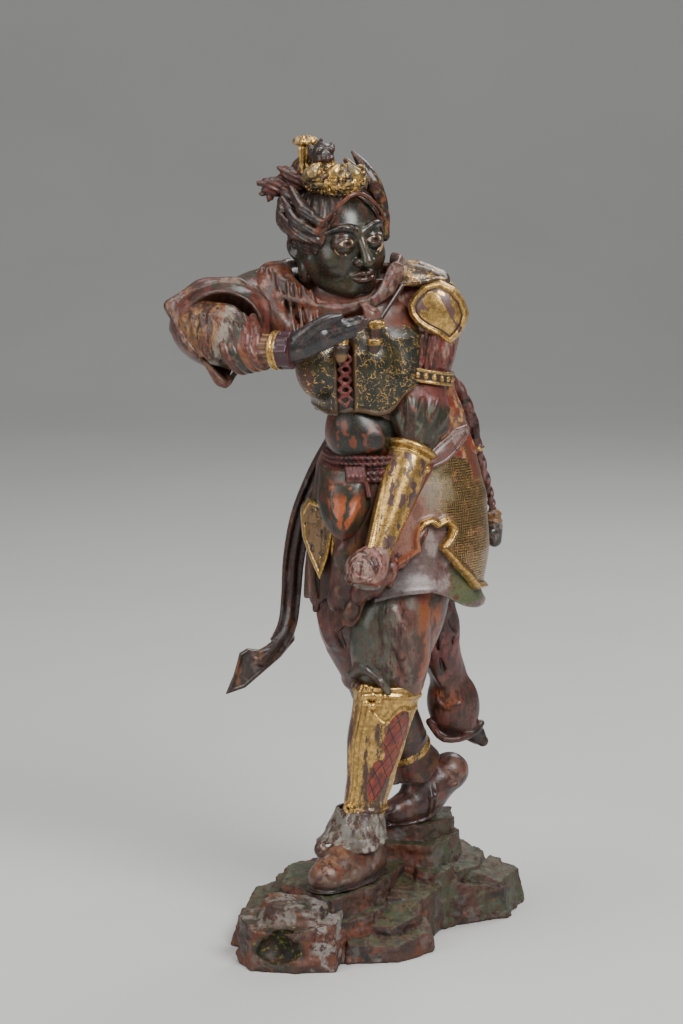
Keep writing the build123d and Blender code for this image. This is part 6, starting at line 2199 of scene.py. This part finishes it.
def build_crest(material):
    """The small beast's head of the crest: bulging brows, blunt muzzle, open jaws."""
    at = Place("crest_animal_head")
    middle = at(-0.1, -1.8, 3.7)
    look = unit((0.35, -1, -0.25))
    rows = axes(look, (-1, 0, 0))

    def beast(q):
        p = local(q, middle, rows)
        side = mirrored(p)
        d = ball(p, (0, 0, -2), (11.5, 10.5, 13))
        d = smooth_min(d, ball(p, (0, 3, 8), (9, 5.5, 8)), 4)
        d = smooth_min(d, ball(side, (6, -5, 6), (4.4, 4, 4.4)), 1.5)
        d = smooth_min(d, ball(side, (3.6, 0.5, 15), (2.6, 2.4, 2.4)), 1.2)
        d = smooth_max(d, -slab(p, (0, 6.5, 14), (8.6, 1.5, 8), None, 1.2), 1)
        d = smooth_min(d, ball(side, (11, -3, -4), (3, 6, 4)), 1.5)
        d = smooth_min(d, limb(p, [(0, -9, -6), (0, -13, -4)], [3, 1.5], 2), 1.5)
        return smooth_min(d, limb(p, [(0, 2, -4), (0, 18, -2)], [9, 9], 2), 3)

    def beast_paint(q, n):
        p = local(q, middle, rows)
        mouth = step(np.abs(p[:, 1] - 7), 4.5, 3) * step(p[:, 2], 6, 9)
        pupils = step(np.hypot(np.abs(p[:, 0]) - 6, p[:, 1] + 5), 2.2, 1.6) * step(p[:, 2], 7, 9)
        return blend(coat(q, 52, 42, 38), blotch(q, (88, 62, 44), 5, 0.25, 561, 0.7),
                     (rgb(104, 44, 34), mouth), (rgb(20, 14, 12), pupils)), 0.03, q

    carved("crest_animal_head", "crest", beast, (10, 14, 8), (10, 8, 8), FINE * 0.8, material, beast_paint,
           name="crest_animal_carved")


# ---------------------------------------------------------------- hidden CAD parts and the studio
def build_hidden():
    """Grain for the dowels, tenons and boards that stay as CAD parts, iron for the staples."""
    wood = plain_wood("bare_wood", rgb(172, 134, 92))
    by_word = {"staples": forged_iron("forged_iron"), "crystal": rock_crystal("rock_crystal"),
               "papers": paper("white_paper")}
    for name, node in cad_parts.items():
        material = next((m for word, m in by_word.items() if word in name), wood)
        node.data.materials.clear()
        node.data.materials.append(material)


def build_studio():
    """A pale floor that curves up behind, soft lights and the camera."""
    s = Shader("pale_floor")
    s.finish(s.mix(s.noise(400, 3.0), rgb(196, 196, 194), rgb(206, 206, 204)), 0.85)
    back, radius, steps, reach = 3.5, 2.0, 16, 9.0
    turns = [math.pi / 2 * k / steps for k in range(steps + 1)]
    profile = [(-reach, 0.0)] + [(back + radius * math.sin(a), radius * (1 - math.cos(a))) for a in turns]
    profile.append((back + radius, reach))
    points = [(x, y, z) for x in (-reach, reach) for y, z in profile]
    count = len(profile)
    sweep = bpy.data.meshes.new("floor")
    sweep.from_pydata(points, [], [(k, count + k, count + k + 1, k + 1) for k in range(count - 1)])
    sweep.polygons.foreach_set("use_smooth", [True] * len(sweep.polygons))
    floor = bpy.data.objects.new("floor", sweep)
    bpy.context.scene.collection.objects.link(floor)
    floor.data.materials.append(s.material)
    low, high = (np.array(c) for c in cad_box)
    middle = (low + high) / 2
    height = high[2] - low[2]
    for name, offset, size, power, in (("key", (1.5, -2.3, 2.3), 1.3, 78),
                                       ("fill", (-2.4, -1.8, 1.4), 1.8, 30),
                                       ("rim", (1.4, 2.2, 2.4), 1.4, 40),
                                       ("top", (-0.4, -0.4, 3.0), 1.4, 30)):
        light = bpy.data.lights.new(name, "AREA")
        light.energy, light.size = power, size
        lamp = bpy.data.objects.new(name, light)
        lamp.location = Vector(middle) + Vector(offset) * height
        lamp.rotation_euler = (Vector(middle) - lamp.location).to_track_quat("-Z", "Y").to_euler()
        bpy.context.scene.collection.objects.link(lamp)
    world = bpy.data.worlds.new("studio")
    world.use_nodes = True
    world.node_tree.nodes["Background"].inputs[0].default_value = (0.55, 0.55, 0.55, 1)
    world.node_tree.nodes["Background"].inputs[1].default_value = 0.38
    bpy.context.scene.world = world
    rise = math.radians(CAMERA_RISE)
    aim = Vector((CAMERA_SIDE, 0, CAMERA_HEIGHT)) / MM
    data = bpy.data.cameras.new("camera")
    data.sensor_width, data.lens = SENSOR, SENSOR * CAMERA_DISTANCE / FRAME_HEIGHT
    camera = bpy.data.objects.new("camera", data)
    camera.location = aim + Vector((0, -math.cos(rise), math.sin(rise))) * CAMERA_DISTANCE
    camera.rotation_euler = (aim - camera.location).to_track_quat("-Z", "Y").to_euler()
    bpy.context.scene.collection.objects.link(camera)
    bpy.context.scene.camera = camera


build_hidden()
rock = painted("rock_pigment", rough=0.55, grain=(1, 1, 1), flake=0.45)
cloth = painted("cloth_pigment", rough=0.32)
brocade = painted("brocade_pigment", lines=scroll_lines, ink=CRIMSON, ink_leaf=0.0, rough=0.34)
satin = painted("satin_pigment", rough=0.26, grain=(0.5, 0.5, 1), flake=0.38)
cord = painted("cord_pigment", rough=0.34, flake=0.42)
trouser = painted("trouser_pigment", rough=0.3, flake=0.44)
shoe = painted("shoe_lacquer", rough=0.3, grain=(1, 1, 1), flake=0.44)
gilt = painted("worn_gilding", flake=0.40, worn=0.46, rough=0.32)
greave = painted("greave_pattern", lines=lattice_lines, ink=LACQUER * 0.6, ink_leaf=0.0, flake=0.40,
                 worn=0.46, rough=0.32)
maze = painted("maze_gilding", lines=maze_lines, ink=GOLD * 1.2, ink_leaf=1.0, flake=0.38, worn=0.38,
               rough=0.28)
armour = painted("armour_scrolls", lines=scroll_lines, flake=0.40, worn=0.46, rough=0.3)
pelt = painted("pelt_pigment", rough=0.3, flake=0.43)
lacquer = painted("dark_lacquer", rough=0.26, flake=0.42)
skin = painted("face_lacquer", rough=0.22, grain=(1, 1, 0.4), flake=0.42, edges=0.12)
eye = painted_crystal("crystal_iris")
build_rocks(rock)
build_front_foot(shoe, cloth)
build_front_leg(trouser, greave)
build_rear_leg(trouser, greave, shoe)
build_robe(cloth, satin)
build_hip_panel(maze, satin)
build_lappets(gilt)
build_apron(pelt, cord)
build_hangings(cloth, lacquer)
build_cuirass(armour, cord)
build_straps(lacquer)
build_scarf(cloth)
build_right_sleeve(cloth, gilt, brocade)
build_right_hand(lacquer)
build_left_shoulder(cloth, armour, gilt)
build_left_forearm(brocade, gilt)
build_head(skin, lacquer, eye)
build_crown(lacquer, gilt, cloth)
build_crest(lacquer)
build_studio()
